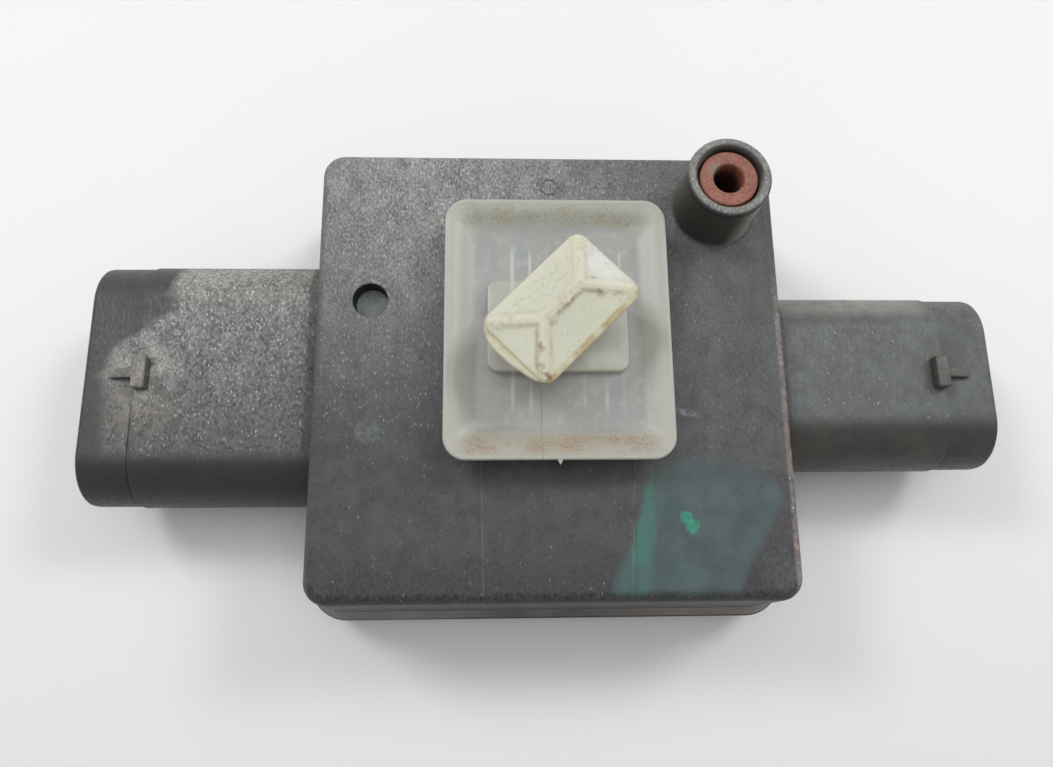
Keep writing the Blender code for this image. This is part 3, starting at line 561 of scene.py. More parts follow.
# The ledge paler beige towards the front: settled dust, and painted light on the chamfer where it catches the
# light.
ledge = product(span(z, 6.40, 6.65), span(z, 7.8, 7.1))
toward_ends = span(calc("ABSOLUTE", x), 4, 16)
ledge_dust_and_light = scaled(noise(place, 260.0, 4.0), 0.7, scaled(toward_ends, 0.35, 0.15))
in_front = scaled(span(y, -18, -25), 0.65, 0.35)
tone = layer(tone, (0.235, 0.215, 0.198), ledge, calc("MINIMUM", ledge_dust_and_light, 1.0), in_front)
# Painted shadow: a near-black line under the front ledge, where the case stands clear of the table.
ledge_shadow_line = product(span(z, 6.62, 6.48), span(z, 5.6, 6.1), span(y, -25.5, -26.8))
tone = layer(tone, (0.004, 0.004, 0.004), ledge_shadow_line, span(x, -16, -4), 0.9)

ragged = scaled(noise(place, 350.0, 4.0), 1.8 * mm, -0.9 * mm)
brushed = node(
    tree, "ShaderNodeMapping", {"Vector": place, "Rotation": (0, 0, 0.12), "Scale": (7.0, 1.0, 1.0)}
)
streaks = scaled(noise(brushed.outputs[0], 150.0, 4.0), 0.8, 0.5)
smear = [
    (10.7, -11.8), (8.2, -18.9), (8.6, -24.2), (18.8, -24.1), (24.3, -14.4), (23.2, -12.6), (19.6, -10.9),
    (14.5, -10.4),
]
haze = product(inside(x, y, smear, 1.6 * mm, ragged), on_top, clouded(place, 170.0, 3.0, 0.7, 0.42))
thickness = blotches(place, 260.0, 4.0, 0.35, 0.65)
blue_haze = mixed(thickness, (0.054, 0.076, 0.088, 1), (0.080, 0.112, 0.124, 1))
green_haze = mixed(thickness, (0.052, 0.088, 0.086, 1), (0.074, 0.128, 0.120, 1))
haze_tone = mixed(span(x, 19, 11), blue_haze, green_haze)
tone = mixed(haze, tone, haze_tone)
upper_streak = [
    (10.5, -11.0), (9.6, -12.7), (8.9, -15.4), (8.2, -18.1), (7.9, -20.1), (8.6, -21.4), (9.8, -21.4),
    (10.4, -19.7), (10.7, -15.8), (10.8, -12.7),
]
lower_streak = [(8.0, -19.6), (5.4, -24.4), (9.6, -24.5), (10.3, -22.0), (10.3, -19.6)]
right_streak = [(22.9, -13.4), (17.1, -23.9), (19.0, -24.0), (24.3, -14.6), (23.4, -13.2)]
for shape, colour, share in (
    (right_streak, (0.078, 0.118, 0.130), 0.4),
    (lower_streak, (0.056, 0.150, 0.138), 0.62),
    (upper_streak, (0.050, 0.160, 0.128), 0.85),
):
    edge = inside(x, y, shape, 1.3 * mm, product(ragged, 0.5))
    tone = layer(tone, colour, edge, on_top, calc("MINIMUM", streaks, 1.0), share)
fine_edge = scaled(noise(place, 1000.0, 3.0), 0.7 * mm, -0.35 * mm)
for centre, radius in (((13.8, -16.6), 0.85), ((14.35, -17.5), 0.95)):
    drop = product(round_mask(x, y, centre, radius, 0.4, fine_edge), on_top)
    tone = layer(tone, (0.020, 0.235, 0.150), drop, 0.85)
    tone = layer(tone, (0.10, 0.40, 0.28), drop, blotches(place, 2200.0, 3.0, 0.5, 0.7), 0.5)
# Painted shade: the recess wall near-black; painted light: its floor pale bluish-grey, as lit.
in_recess = product(round_mask(x, y, recess_axis, 2.2, 0.1), above_deck(z, -0.1, -0.3))
shaded_recess_wall = product(in_recess, calc("SUBTRACT", 1.0, on_top))
tone = layer(tone, (0.010, 0.010, 0.010), shaded_recess_wall, 0.9)
tone = layer(tone, (0.150, 0.170, 0.175), in_recess, on_top, clouded(place, 1500.0, 4.0, 1.2, 0.1))
disc = round_mask(x, y, (-19.75, -7.2), 1.7, 0.5, product(fine_edge, 0.4))
speckle = blotches(place, 1800.0, 4.0, 0.38, 0.64)
tone = layer(tone, (0.125, 0.140, 0.150), disc, on_top, scaled(speckle, 0.55, 0.2))
scratch = inside(
    x, y, [(16.2, -5.9), (15.7, -5.4), (13.3, -4.9), (13.9, -5.7)], 0.5 * mm, product(ragged, 0.35)
)
tone = layer(tone, (0.26, 0.27, 0.28), scratch, scaled(speckle, 0.6, 0.15))
rubbed_corner = round_mask(x, y, (24.4, -22.4), 3.8, 3.4, product(ragged, 1.2))
tone = layer(tone, (0.150, 0.150, 0.155), rubbed_corner, scaled(speckle, 0.3, 0.1))
for seam_x, seam_lean in ((-7.6, -0.025), (8.2, 0.058)):
    off = scaled(calc("ADD", y, 18 * mm), -seam_lean, x)
    off = apart(off, seam_x * mm)
    line = product(span(off, 0.14, 0.04), span(y, -8, -11))
    line = product(line, blotches(place, 350.0, 3.0, 0.36, 0.6))
    tone = layer(tone, (0.20, 0.20, 0.20), line, 0.25)
# Painted highlight along the left top edge.
left_brow_highlight = product(span(x, -24.9, -25.8), brow)
tone = layer(tone, (0.122, 0.121, 0.127), left_brow_highlight, clouded(place, 500.0, 4.0, 0.6, 0.2))
# Along the right top edge: a pinkish rub, with painted highlight and bright specks.
right_brow = product(span(x, 24.85, 25.35), brow)
right_brow = product(right_brow, span(y, 15, 4))
rub_and_highlight = scaled(blotches(place, 900.0, 5.0, 0.3, 0.6), 0.6, 0.25)
tone = layer(tone, (0.27, 0.222, 0.198), right_brow, rub_and_highlight)
tone = layer(tone, (0.52, 0.47, 0.43), right_brow, blotches(place, 2600.0, 3.0, 0.58, 0.7), 0.8)
worn = blotches(place, 800.0, 5.0, 0.3, 0.65)
tone = layer(tone, (0.25, 0.25, 0.245), rim, worn, 0.42)
tone = layer(tone, (0.48, 0.48, 0.46), rim, blotches(place, 3000.0, 3.0, 0.56, 0.68), 0.6)
# Painted shade on the rounded front edge of the port rim.
shaded_rim_front = product(in_port, above_deck(z, 6.9, 7.4))
shaded_rim_front = product(shaded_rim_front, between(facing["Z"], 0.97, 0.75), between(facing["Y"], 0.3, -0.2))
tone = layer(tone, (0.030, 0.029, 0.028), shaded_rim_front, 0.8)
give_colour(shader, tone)
gloss = scaled(dust, 0.3, scaled(grain["Sand"], 0.2, 0.4))
tree.links.new(gloss, shader.inputs["Roughness"])
give_relief(shader, grain["Height"], 0.045 * mm)
finished(housing, case_grey)
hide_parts("housing")
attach(housing, "case")


# Plug sockets
# Two obround sockets of the same grey plastic, which the case is moulded round. Each has a smoother collar at
# its mouth, a T-shaped lock nub on top, a web with a slot for each pin, and a flange behind the wall.
socket_grey, tree, shader, place, x, y, z = start_material("socket_grey", 0.5)
shader.inputs["Specular IOR Level"].default_value = 0.35
is_left = calc("LESS_THAN", x, 0.0)
is_right = calc("SUBTRACT", 1.0, is_left)
on_top = product(upward_mask(tree, 0.2, 0.8), span(z, 11.5, 13))
slope = node(
    tree,
    "ShaderNodeMapRange",
    {"Value": y, "From Min": 2.9 * mm, "From Max": 7.3 * mm, "To Min": -49.8 * mm, "To Max": -43.2 * mm},
).outputs["Result"]
ragged = scaled(noise(place, 420.0, 5.0), 3.0 * mm, -1.5 * mm)
past_edge = calc("ADD", calc("SUBTRACT", x, slope), ragged)
left_flat = product(is_left, span(past_edge, -0.6, 1.0), span(y, -10.2, -8.2))
left_dust = product(
    left_flat,
    calc("MAXIMUM", scaled(y, 38.0, 0.56), 0.0),
    scaled(span(x, -40, -30), -0.1, 1.06),
)
right_flat = product(is_right, on_top, span(y, -6.6, -4.4))
# The mask for dust on the socket tops, which also takes in the right socket's painted sheen patches.
dust_and_sheen = scaled(right_flat, 0.10, left_dust)
dust_and_sheen = product(dust_and_sheen, span(z, 11.5, 13))
fleck_share = scaled(left_flat, 0.3, scaled(dust_and_sheen, 0.5, scaled(right_flat, 0.08, 0.02)))
grain = place_group(tree, grain_group, grain_scale=4000.0, fleck_share=fleck_share)
tone = mixed(grain["Cloud"], (0.053, 0.054, 0.057, 1), (0.063, 0.063, 0.060, 1))
tone = layer(tone, (0.110, 0.111, 0.112), grain["Sand"], 0.12)
# Painted shade: the front slopes of the sockets darker, the left one more.
front_edge = node(tree, "ShaderNodeMix", {0: is_left, 2: -4.9 * mm, 3: -8.4 * mm}).outputs[0]
in_front = between(calc("SUBTRACT", front_edge, y), 0.0, 2.2 * mm)
tone = layer(tone, (0.021, 0.021, 0.0205), in_front, scaled(is_left, 0.29, 0.43))
olive = product(is_right, blotches(place, 220.0, 5.0, 0.35, 0.7))
tone = layer(tone, (0.075, 0.071, 0.055), in_front, olive, 0.6)
# Painted reflected light from the table along the left socket's lower front edge.
reflected_low_edge = span(z, 9.5, 7.0)
tone = layer(tone, (0.105, 0.105, 0.104), in_front, reflected_low_edge, is_left, 0.55)
# Painted sheen: pale bluish patches on the right socket's top.
patchy = clouded(place, 150.0, 5.0, 0.9, 0.25)
mottle = blotches(place, 650.0, 6.0, 0.34, 0.66)
tone = layer(tone, (0.112, 0.121, 0.125), right_flat, patchy, scaled(mottle, 0.7, 0.62))
olive_patch = blotches(place, 260.0, 5.0, 0.50, 0.68)
tone = layer(tone, (0.098, 0.096, 0.078), right_flat, olive_patch, 0.45)
dust = place_group(tree, dust_group, amount=dust_and_sheen, clump_scale=4300.0)["Mask"]
dust_tone = mixed(span(y, 3, 11), (0.350, 0.364, 0.370, 1), (0.420, 0.408, 0.375, 1))
tone = mixed(dust, tone, dust_tone)
pits = blotches(place, 2600.0, 5.0, 0.54, 0.36)
tone = layer(tone, (0.034, 0.034, 0.035), pits, left_flat, on_top, scaled(span(y, 12, 4), 0.3, 0.3))
soil = round_mask(x, y, (-45.8, -4.4), 5.2, 3.4, ragged)
soil_share = blotches(place, 900.0, 5.0, 0.34, 0.66)
tone = layer(tone, (0.235, 0.205, 0.155), soil, soil_share, on_top, 0.6)
back_strip = product(is_right, span(y, 6.4, 8.4), span(x, 46.5, 43.5), span(z, 11.5, 13))
tone = layer(tone, (0.270, 0.262, 0.228), back_strip, clouded(place, 700.0, 5.0, 1.1, 0.15))
glint = product(grain["Fleck"], scaled(dust_and_sheen, 0.65, 0.4), scaled(in_front, -0.7, 1.0))
tone = layer(tone, (0.66, 0.68, 0.69), glint)
from_nub = calc("ABSOLUTE", calc("ADD", calc("ABSOLUTE", x), -45.9 * mm))
from_nub = calc("ADD", from_nub, apart(y, 0.6 * mm))
crumbs = product(
    blotches(place, 520.0, 5.0, 0.40, 0.60),
    scaled(blotches(place, 3200.0, 4.0, 0.36, 0.62), 0.7, 0.3),
)
caked = product(span(from_nub, 7.0, 1.5), crumbs, on_top)
tone = layer(tone, (0.47, 0.45, 0.40), caked, is_left, 0.85)
tone = layer(tone, (0.080, 0.076, 0.055), span(from_nub, 5.5, 1.5), is_right, mottle, 0.7)
# Darker where the sockets meet the wall: grime, and painted shade in the corner.
at_wall = span(calc("ABSOLUTE", x), 27.9, 27.3)
tone = layer(tone, (0.030, 0.029, 0.027), at_wall, clouded(place, 700.0, 4.0, 1.0, 0.1))
on_nub = span(z, 16.15, 16.4)
tone = layer(tone, (0.180, 0.165, 0.130), on_nub, scaled(is_left, 0.45, 0.15), patchy)
give_colour(shader, tone)
gloss = scaled(dust, 0.3, scaled(grain["Sand"], 0.2, 0.38))
tree.links.new(gloss, shader.inputs["Roughness"])
give_relief(shader, grain["Height"], 0.04 * mm)

sockets = (("left_socket", -1, 28.7, 52.2, 6), ("right_socket", 1, 21.2, 51.8, 4))
seam_open = {"left_socket": -3.0, "right_socket": -9.6}
socket_wall = 1.5
flange_back = 22.1
flange_front = 23.6
flange_overlap = 1.5
flange_rise = 0.2
nub_setback = 5.8
nub_length = 1.55
nub_width = 3.7
nub_height = 1.4
ramp_length = 2.8
ramp_width = 1.1
ramp_height = 1.1
ramp_fall = 0.72
slot_width = 1.9
slot_height = 1.2
pin_pitch = 3.6
for name, side, width, mouth, pin_count in sockets:

    def ring(x, grow, rise=0.0):
        """The socket's outline in millimetres at a distance from the middle, grown or shrunk all round."""
        wide = (width + 2 * grow) * mm
        tall = (socket_height + 2 * (rise or grow)) * mm
        return upright_ring(side * x * mm, wide, tall, (socket_corner + min(grow, 0.0)) * mm)

    def seam_ring(x):
        """The seam behind the collar, open towards the front and filled with dirt further back."""
        points = []
        for deep, filled in zip(ring(x, -0.22), ring(x, -0.10)):
            share = max(deep.y / mm - seam_open[name], 0.0) / 2.5
            points.append(deep.lerp(filled, min(share, 1.0)))
        return points

    web = mouth - 18.0
    rings = [
        ring(web - 2.0, -socket_wall),
        ring(flange_back, -socket_wall),
        ring(flange_back, flange_overlap, flange_rise),
        ring(flange_front, flange_overlap, flange_rise),
        ring(flange_front, 0.0),
        ring(mouth - 5.92, 0.0),
        ring(mouth - 5.80, -0.04),
        seam_ring(mouth - 5.76),
        seam_ring(mouth - 5.66),
        ring(mouth - 5.58, -0.15),
        ring(mouth - 0.55, -0.17),
        ring(mouth - 0.25, -0.25),
        ring(mouth - 0.07, -0.42),
        ring(mouth, -0.65),
        ring(mouth, -1.15),
        ring(mouth - 0.08, -1.33),
        ring(mouth - 0.30, -1.48),
        ring(web, -socket_wall),
    ]
    socket = as_object(name + "_shell", loft(rings))
    top = socket_axis + socket_height / 2
    front = mouth - nub_setback

    def nub_block(start, end, wide, tall, rounding):
        """A rounded bar on top of the socket between two distances from the middle, in millimetres."""
        low, high = sorted((side * start, side * end))
        corners = (low, -wide / 2, top - 0.8), (high, wide / 2, top + tall)
        return block(*[Vector(point) * mm for point in corners], rounding * mm)

    catch = nub_block(front, front - nub_length, nub_width, nub_height, 0.3)
    ramp = nub_block(front - 1.0, front + ramp_length, ramp_width, ramp_height, 0.18)
    for vert in ramp.verts:
        if vert.co.z > top * mm and abs(vert.co.x) > (front + 1.0) * mm:
            vert.co.z -= ramp_fall * mm
    slots = []
    for number in range(pin_count):
        slot = Vector((40.0, slot_width / 2, slot_height / 2))
        middle = Vector((0.0, (number - (pin_count - 1) / 2) * pin_pitch, socket_axis))
        slots.append(block((middle - slot) * mm, (middle + slot) * mm))
    worked(socket, joined=[catch, ramp], cut=slots)
    finished(socket, socket_grey)
    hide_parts(name)
    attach(socket, "case")


# Terminal pins
# Flat pins stamped from tinned copper strip, with coined tips. Each is pushed through the web of its socket
# and bends down behind the wall into the board.
tinned, tree, shader, place, x, y, z = start_material("tinned_copper", 0.3, 1.0)
along = node(tree, "ShaderNodeMapping", {"Vector": place, "Scale": (1.0, 14.0, 14.0)}).outputs[0]
drawn = noise(along, 500.0, 4.0)
tone = mixed(drawn, (0.62, 0.60, 0.56, 1), (0.80, 0.79, 0.76, 1))
tarnish = blotches(place, 300.0, 4.0, 0.52, 0.75)
tone = layer(tone, (0.40, 0.34, 0.26), tarnish, 0.5)
give_colour(shader, tone)
tree.links.new(scaled(drawn, 0.25, 0.2), shader.inputs["Roughness"])
give_relief(shader, drawn, 0.004 * mm)

pin_row = bpy.data.node_groups.new("pin_row", "GeometryNodeTree")
for label, kind in (
    ("Pin", "Geometry"),
    ("Pin Count", "Int"),
    ("Pitch", "Vector"),
    ("First Pin", "Vector"),
    ("Tin", "Material"),
):
    pin_row.interface.new_socket(label, in_out="INPUT", socket_type="NodeSocket" + kind)
pin_row.interface.new_socket("Row", in_out="OUTPUT", socket_type="NodeSocketGeometry")
given = pin_row.nodes.new("NodeGroupInput").outputs
line = node(
    pin_row,
    "GeometryNodeMeshLine",
    {"Count": given["Pin Count"], "Start Location": given["First Pin"], "Offset": given["Pitch"]},
)
stand = node(pin_row, "GeometryNodeInstanceOnPoints", {"Points": line.outputs[0], "Instance": given["Pin"]})
solid = node(pin_row, "GeometryNodeRealizeInstances", {"Geometry": stand.outputs[0]})
coloured = node(
    pin_row, "GeometryNodeSetMaterial", {"Geometry": solid.outputs[0], "Material": given["Tin"]}
)
pin_row.links.new(coloured.outputs[0], pin_row.nodes.new("NodeGroupOutput").inputs["Row"])


def grown(made, group, **values):
    """Runs a geometry tree on an object with named values, and leaves the plain mesh that it makes."""
    modifier = made.modifiers.new(group.name, "NODES")
    modifier.node_group = group
    for item in group.interface.items_tree:
        key = item.name.lower().replace(" ", "_")
        if item.in_out == "INPUT" and key in values:
            modifier[item.identifier] = values[key]
    graph = bpy.context.evaluated_depsgraph_get()
    mesh = bpy.data.meshes.new_from_object(made.evaluated_get(graph))
    made.modifiers.clear()
    made.data = mesh
    return made


for name, side, width, mouth, pin_count in sockets:
    tip = mouth - 6.4
    leg = 19.9
    axis = socket_axis
    profile = [
        (tip, axis - 0.14),
        (tip, axis + 0.14),
        (tip - 0.3, axis + 0.3),
        (tip - 1.0, axis + 0.4),
        (leg, axis + 0.4),
        (leg - 0.22, axis + 0.32),
        (leg - 0.36, axis + 0.16),
        (leg - 0.4, axis - 0.1),
        (leg - 0.4, 4.4),
        (leg + 0.4, 4.4),
        (leg + 0.4, axis - 0.4),
        (tip - 1.0, axis - 0.4),
        (tip - 0.3, axis - 0.3),
    ]
    blade = loft([[Vector((side * u, y, v)) * mm for u, v in profile] for y in (-0.75, 0.75)])
    bmesh.ops.bevel(blade, geom=blade.edges[:], offset=0.08 * mm, segments=2, profile=0.5, affect="EDGES")
    pins = as_object(name.replace("socket", "pins"), blade)
    start = Vector((0.0, -(pin_count - 1) / 2 * pin_pitch * mm, 0.0))
    grown(pins, pin_row, pin_count=pin_count, pitch=(0.0, pin_pitch * mm, 0.0), first_pin=start, tin=tinned)
    finished(pins, tinned)
    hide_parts(*[name.replace("socket", f"pin_{number}") for number in range(1, pin_count + 1)])
    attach(pins, "case")


# Circuit board and the parts on it
# A green board under four posts with its chips, crystal, transformer, capacitor, inductor and diode. It is
# closed in by the cover, so these keep their plain solids and only take their own finishes.
def paint_nodes(material, slot, *names):
    """Gives CAD solids a finish."""
    for name in names:
        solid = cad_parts[name]
        solid.data.materials.clear()
        solid.data.materials.append(material)


board_green, tree, shader, place, x, y, z = start_material("solder_mask", 0.35)
tracks = node(
    tree, "ShaderNodeTexBrick", {"Vector": place, "Scale": 700.0, "Mortar Size": 0.06}, offset=0.37
)
tone = mixed(noise(place, 240.0, 4.0), (0.012, 0.080, 0.036, 1), (0.022, 0.125, 0.058, 1))
tone = layer(tone, (0.045, 0.20, 0.09), tracks.outputs["Fac"], 0.5)
give_colour(shader, tone)
give_relief(shader, tracks.outputs["Fac"], 0.02 * mm)
paint_nodes(board_green, "board_laminate", "circuit_board")

package_tones = (0.012, 0.012, 0.013), (0.030, 0.030, 0.031)
package_black = clouded_finish("moulded_epoxy", 0.55, (1800.0, 4.0), *package_tones, 9000.0, 0.006 * mm)
paint_nodes(package_black, "package_plastic", "processor_chip", "driver_chip", "protection_diode")

ferrite_tones = (0.060, 0.057, 0.057), (0.120, 0.112, 0.110)
ferrite_grey = clouded_finish("pressed_ferrite", 0.6, (1500.0, 5.0), *ferrite_tones, 6000.0, 0.012 * mm)
paint_nodes(ferrite_grey, "ferrite_core", "drive_transformer", "filter_inductor")

can_metal, tree, shader, place, x, y, z = start_material("drawn_can", 0.35, 1.0)
around = node(tree, "ShaderNodeMapping", {"Vector": place, "Scale": (1.0, 1.0, 12.0)}).outputs[0]
tone = mixed(noise(around, 400.0, 4.0), (0.62, 0.62, 0.62, 1), (0.80, 0.80, 0.79, 1))
give_colour(shader, tone)
tree.links.new(clouded(around, 900.0, 3.0, 0.3, 0.2), shader.inputs["Roughness"])
paint_nodes(can_metal, "can_metal", "clock_crystal", "storage_capacitor")
paint_nodes(can_metal, "capsule_metal", "sensing_capsule")
paint_nodes(can_metal, "screw_steel", *[f"board_screw_{number}" for number in range(1, 5)])
paint_nodes(seal_black, "seal_rubber", "capsule_gasket")


# Port seal
# A brick-red silicone sleeve pressed into the port tube, its end a little below the rim. Its skin is matt and
# grainy, with grey dust on it.
sleeve = [
    (3.15, 21.6), (3.27, 22.0), (3.27, 25.8), (3.16, 26.9), (3.14, 27.2), (3.09, 27.38), (2.96, 27.47),
    (2.80, 27.5), (1.95, 27.5), (1.75, 27.44), (1.64, 27.3), (1.60, 27.1), (1.60, 21.6),
]
sleeve_form = turned(sleeve, spot(port_axis, 0), looped=True)
brick_red, tree, shader, place, x, y, z = start_material("brick_red_silicone", 0.7)
grit = noise(place, 4600.0, 5.0)
coarse = between(grit, 0.25, 0.75)
tone = mixed(coarse, (0.150, 0.038, 0.026, 1), (0.350, 0.112, 0.070, 1))
# The sleeve's front half paler red, as painted light; the tube shades its back half.
tone = layer(tone, (0.42, 0.14, 0.075), span(y, 17.6, 15.6), coarse, 0.5)
dust = place_group(tree, dust_group, amount=0.60, clump_scale=3200.0)["Mask"]
tone = layer(tone, (0.33, 0.26, 0.21), dust, 0.5)
soiled = round_mask(x, y, (17.3, 19.5), 1.3, 0.9, scaled(grit, 1.2 * mm, -0.6 * mm))
tone = layer(tone, (0.25, 0.23, 0.18), soiled, 0.55)
# Painted shade: the hole through the sleeve near-black.
deep = product(round_mask(x, y, port_axis, 1.85, 0.2), span(z, 27.0, 25.0))
tone = layer(tone, (0.030, 0.014, 0.011), deep, 0.92)
give_colour(shader, tone)
give_relief(shader, grit, 0.05 * mm)
sleeve_piece = finished(as_object("red_sleeve", sleeve_form), brick_red)
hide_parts("port_seal")
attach(sleeve_piece, "case")


# Mounting clip
# One moulding in natural nylon, milky and see-through where it is thin: two hooks that slide on the rail, a
# thin dish with a flared rim, a boss and neck, and a hip-roofed head turned by 45 degrees.
def clip_ring(z, width, length, radius):
    """A rounded rectangle on the clip's middle, in millimetres above the deck."""
    return [clip_place + point for point in flat_ring(z * mm, width * mm, length * mm, radius * mm)]


dish_rings = [clip_ring(2.3, 18.3, 22.9, 1.1), clip_ring(2.35, 18.5, 23.1, 1.2)]
for step in range(1, 7):
    part = step / 6
    flare = 2.7 * (0.55 * part + 0.45 * part * part)
    dish_rings.append(clip_ring(2.35 + 1.5 * part, 18.5 + 2 * flare, 23.1 + 2 * flare, 1.2 + 1.2 * part))
dish_rings += [
    clip_ring(4.22, 23.9, 28.5, 2.4),
    clip_ring(4.34, 23.82, 28.42, 2.36),
    clip_ring(4.40, 23.62, 28.22, 2.26),
    clip_ring(4.40, 23.15, 27.75, 2.05),
    clip_ring(4.34, 22.95, 27.55, 1.95),
]
for step in range(1, 11):
    part = step / 10
    fall = 1.14 * part * part * (3 - 2 * part)
    dish_rings.append(clip_ring(4.34 - fall, 22.95 - 6.4 * part, 27.55 - 6.6 * part, 1.95 - 0.65 * part))
clip = as_object("milky_clip", loft(dish_rings))

hook_outer = 9.25
hook_wall = 8.05
hook_lip = 4.8
hooks = []
for side in (-1, 1):
    for inner, top in ((hook_wall, 2.8), (hook_lip, 0.7)):
        low, high = sorted((side * inner * mm, side * hook_outer * mm))
        hooks.append(block((low, -rail_half, 0.3 * mm), (high, rail_half, top * mm)))
for hook in hooks:
    bmesh.ops.translate(hook, vec=clip_place, verts=hook.verts)
boss = loft(
    [
        clip_ring(2.7, 14.9, 10.0, 1.15),
        clip_ring(4.02, 14.8, 9.9, 1.1),
        clip_ring(4.15, 14.7, 9.8, 1.05),
        clip_ring(4.20, 14.45, 9.55, 0.95),
    ]
)
neck = turned([(3.7, 4.0), (3.5, 4.5), (3.4, 5.2), (3.4, 9.7)], clip_place)
gate_rings = []
for y, half, low, high in ((-14.15, 0.32, 3.95, 4.3), (-14.7, 0.05, 4.05, 4.2)):
    edge = ((-half, low), (half, low), (half, high), (-half, high))
    gate_rings.append([clip_place + Vector((u, y, v)) * mm for u, v in edge])
gate = loft(gate_rings)
witness = block((-1.84 * mm, -13.2 * mm, 3.0 * mm), (-1.76 * mm, -7.0 * mm, 3.24 * mm))
bmesh.ops.translate(witness, vec=clip_place, verts=witness.verts)

head_turn = Matrix.Rotation(math.radians(45), 4, "Z")
head_length, head_width, head_corner = 13.9, 9.2, 1.25
roof_length, roof_width, roof_shift = 13.6, 8.55, 0.2


def roof_height(u, v):
    """Height of the head's roof in millimetres: sunk panels between broad ribs on the ridge and hips."""
    from_side = roof_width / 2 - abs(v)
    from_end = roof_length / 2 - abs(u)
    nearest = min(from_side, from_end)
    rise = 1.28 * min(nearest / (roof_width / 2), 1.0)
    off_rib = abs(from_side - from_end) / math.sqrt(2)
    if from_end > roof_width / 2:
        off_rib = min(off_rib, abs(v))
    slope = min(max((0.86 - off_rib) / 0.5, 0.0), 1.0)
    rib = slope * slope * (3 - 2 * slope)
    return 10.24 + rise + 0.18 * rib * min(1.0, nearest / 0.6)


def head_outline(length, width, inset):
    """The head's outline drawn in by an inset, with points along its sides as well as round its corners."""
    radius = max(head_corner - 0.8 * inset, 0.03)
    length = length / 2 - inset - radius
    width = width / 2 - inset - radius
    points = []
    corners = ((length, width), (-length, width), (-length, -width), (length, -width))
    for quarter, (u, v) in enumerate(corners):
        for step in range(9):
            angle = (quarter + step / 8) * math.pi / 2
            points.append((u + radius * math.cos(angle), v + radius * math.sin(angle)))
        u_next, v_next = corners[(quarter + 1) % 4]
        end = (quarter + 1) * math.pi / 2
        count = 64 if quarter % 2 == 0 else 40
        for step in range(1, count):
            part = step / count
            points.append(
                (
                    u + (u_next - u) * part + radius * math.cos(end),
                    v + (v_next - v) * part + radius * math.sin(end),
                )
            )
    return points


def on_head(rings):
    """A loft through rings given in millimetres along and across the turned head."""
    return loft([[clip_place + head_turn @ (point * mm) for point in ring] for ring in rings])


head_rings = []
for z, inset in ((9.5, 0.3), (9.58, 0.1), (9.75, 0.0), (10.0, 0.0), (10.1, 0.07)):
    head_rings.append([Vector((u, v, z)) for u, v in head_outline(head_length, head_width, inset)])
for step in range(31):
    inset = 0.02 + (roof_width / 2 - 0.06) * step / 30
    head_rings.append(
        [
            Vector((u, v + roof_shift, roof_height(u, v)))
            for u, v in head_outline(roof_length, roof_width, inset)
        ]
    )
head = on_head(head_rings)
ledge_edge = [
    (-6.0, 4.2), (-6.5, 4.3), (-7.05, 3.85), (-7.5, 3.1), (-7.75, 2.1), (-7.8, 0.9), (-7.72, -0.3),
    (-7.58, -1.4), (-7.38, -2.5), (-7.12, -3.4), (-6.7, -4.0), (-6.0, -4.3),
]
ledge_rings = []
for z, inset in ((9.5, 0.12), (9.58, 0.0), (9.82, 0.0), (9.92, 0.1)):
    ledge_rings.append([Vector((u + (inset if u < -6.0 else 0.0), v, z)) for u, v in ledge_edge])
end_ledge = on_head(ledge_rings)
button = turned(
    [(0.64, 11.2), (0.64, 11.66), (0.58, 11.75), (0.45, 11.79)],
    clip_place + Vector((0.1, 0.3, 0.0)) * mm,
    24,
)
worked(clip, joined=hooks + [boss, neck, gate, witness])
worked(clip, joined=[end_ledge])
worked(clip, joined=[head])
worked(clip, joined=[button])


def start_nylon(name, roughness, clear, cloudy, depth):
    """A nylon by how clear and cloudy it is and how deep light goes, and places across and along the clip."""
    material, tree, shader, place, x, y, z = start_material(name, roughness)
    shader.inputs["IOR"].default_value = 1.5
    shader.inputs["Transmission Weight"].default_value = clear
    shader.inputs["Subsurface Weight"].default_value = cloudy
    shader.inputs["Subsurface Radius"].default_value = (1.0, 1.0, 0.8)
    shader.inputs["Subsurface Scale"].default_value = depth
    across = calc("SUBTRACT", x, clip_place.x)
    along = calc("SUBTRACT", y, clip_place.y)
    return material, tree, shader, place, x, y, z, across, along


milky_nylon, tree, shader, place, x, y, z, across, along = start_nylon(
    "milky_nylon", 0.38, 0.38, 0.4, 1.0 * mm
)
far_across = calc("ABSOLUTE", across)
far_along = calc("ABSOLUTE", along)
clouds = noise(place, 180.0, 5.0)
specks = blotches(place, 4200.0, 3.0, 0.46, 0.68)
tone = mixed(clouds, (0.42, 0.425, 0.41, 1), (0.60, 0.605, 0.58, 1))
sloped = above_deck(z, 3.22, 3.6)
tone = layer(tone, (0.62, 0.62, 0.56), sloped)
for strip_x, strip_width, strip_along in ((-3.6, 0.75, 8.0), (6.0, 0.6, -8.0), (-6.7, 0.4, 7.6)):
    off = apart(across, strip_x * mm)
    away = apart(along, strip_along * mm)
    strip = product(between(off, strip_width * mm, strip_width * 0.6 * mm), span(away, 2.8, 1.6))
    tone = layer(tone, (0.44, 0.49, 0.52), strip, 0.55)
for rib_x, rib_width in ((-4.75, 0.3), (-2.85, 0.22), (2.75, 0.25), (5.1, 0.3), (6.9, 0.22)):
    off = apart(across, rib_x * mm)
    rib = product(between(off, rib_width * mm, rib_width * 0.3 * mm), between(clouds, 0.32, 0.6))
    tone = layer(tone, (0.90, 0.91, 0.88), rib, span(far_along, 9.8, 7.6), 0.6)
scuffs = blotches(place, 900.0, 6.0, 0.52, 0.66)
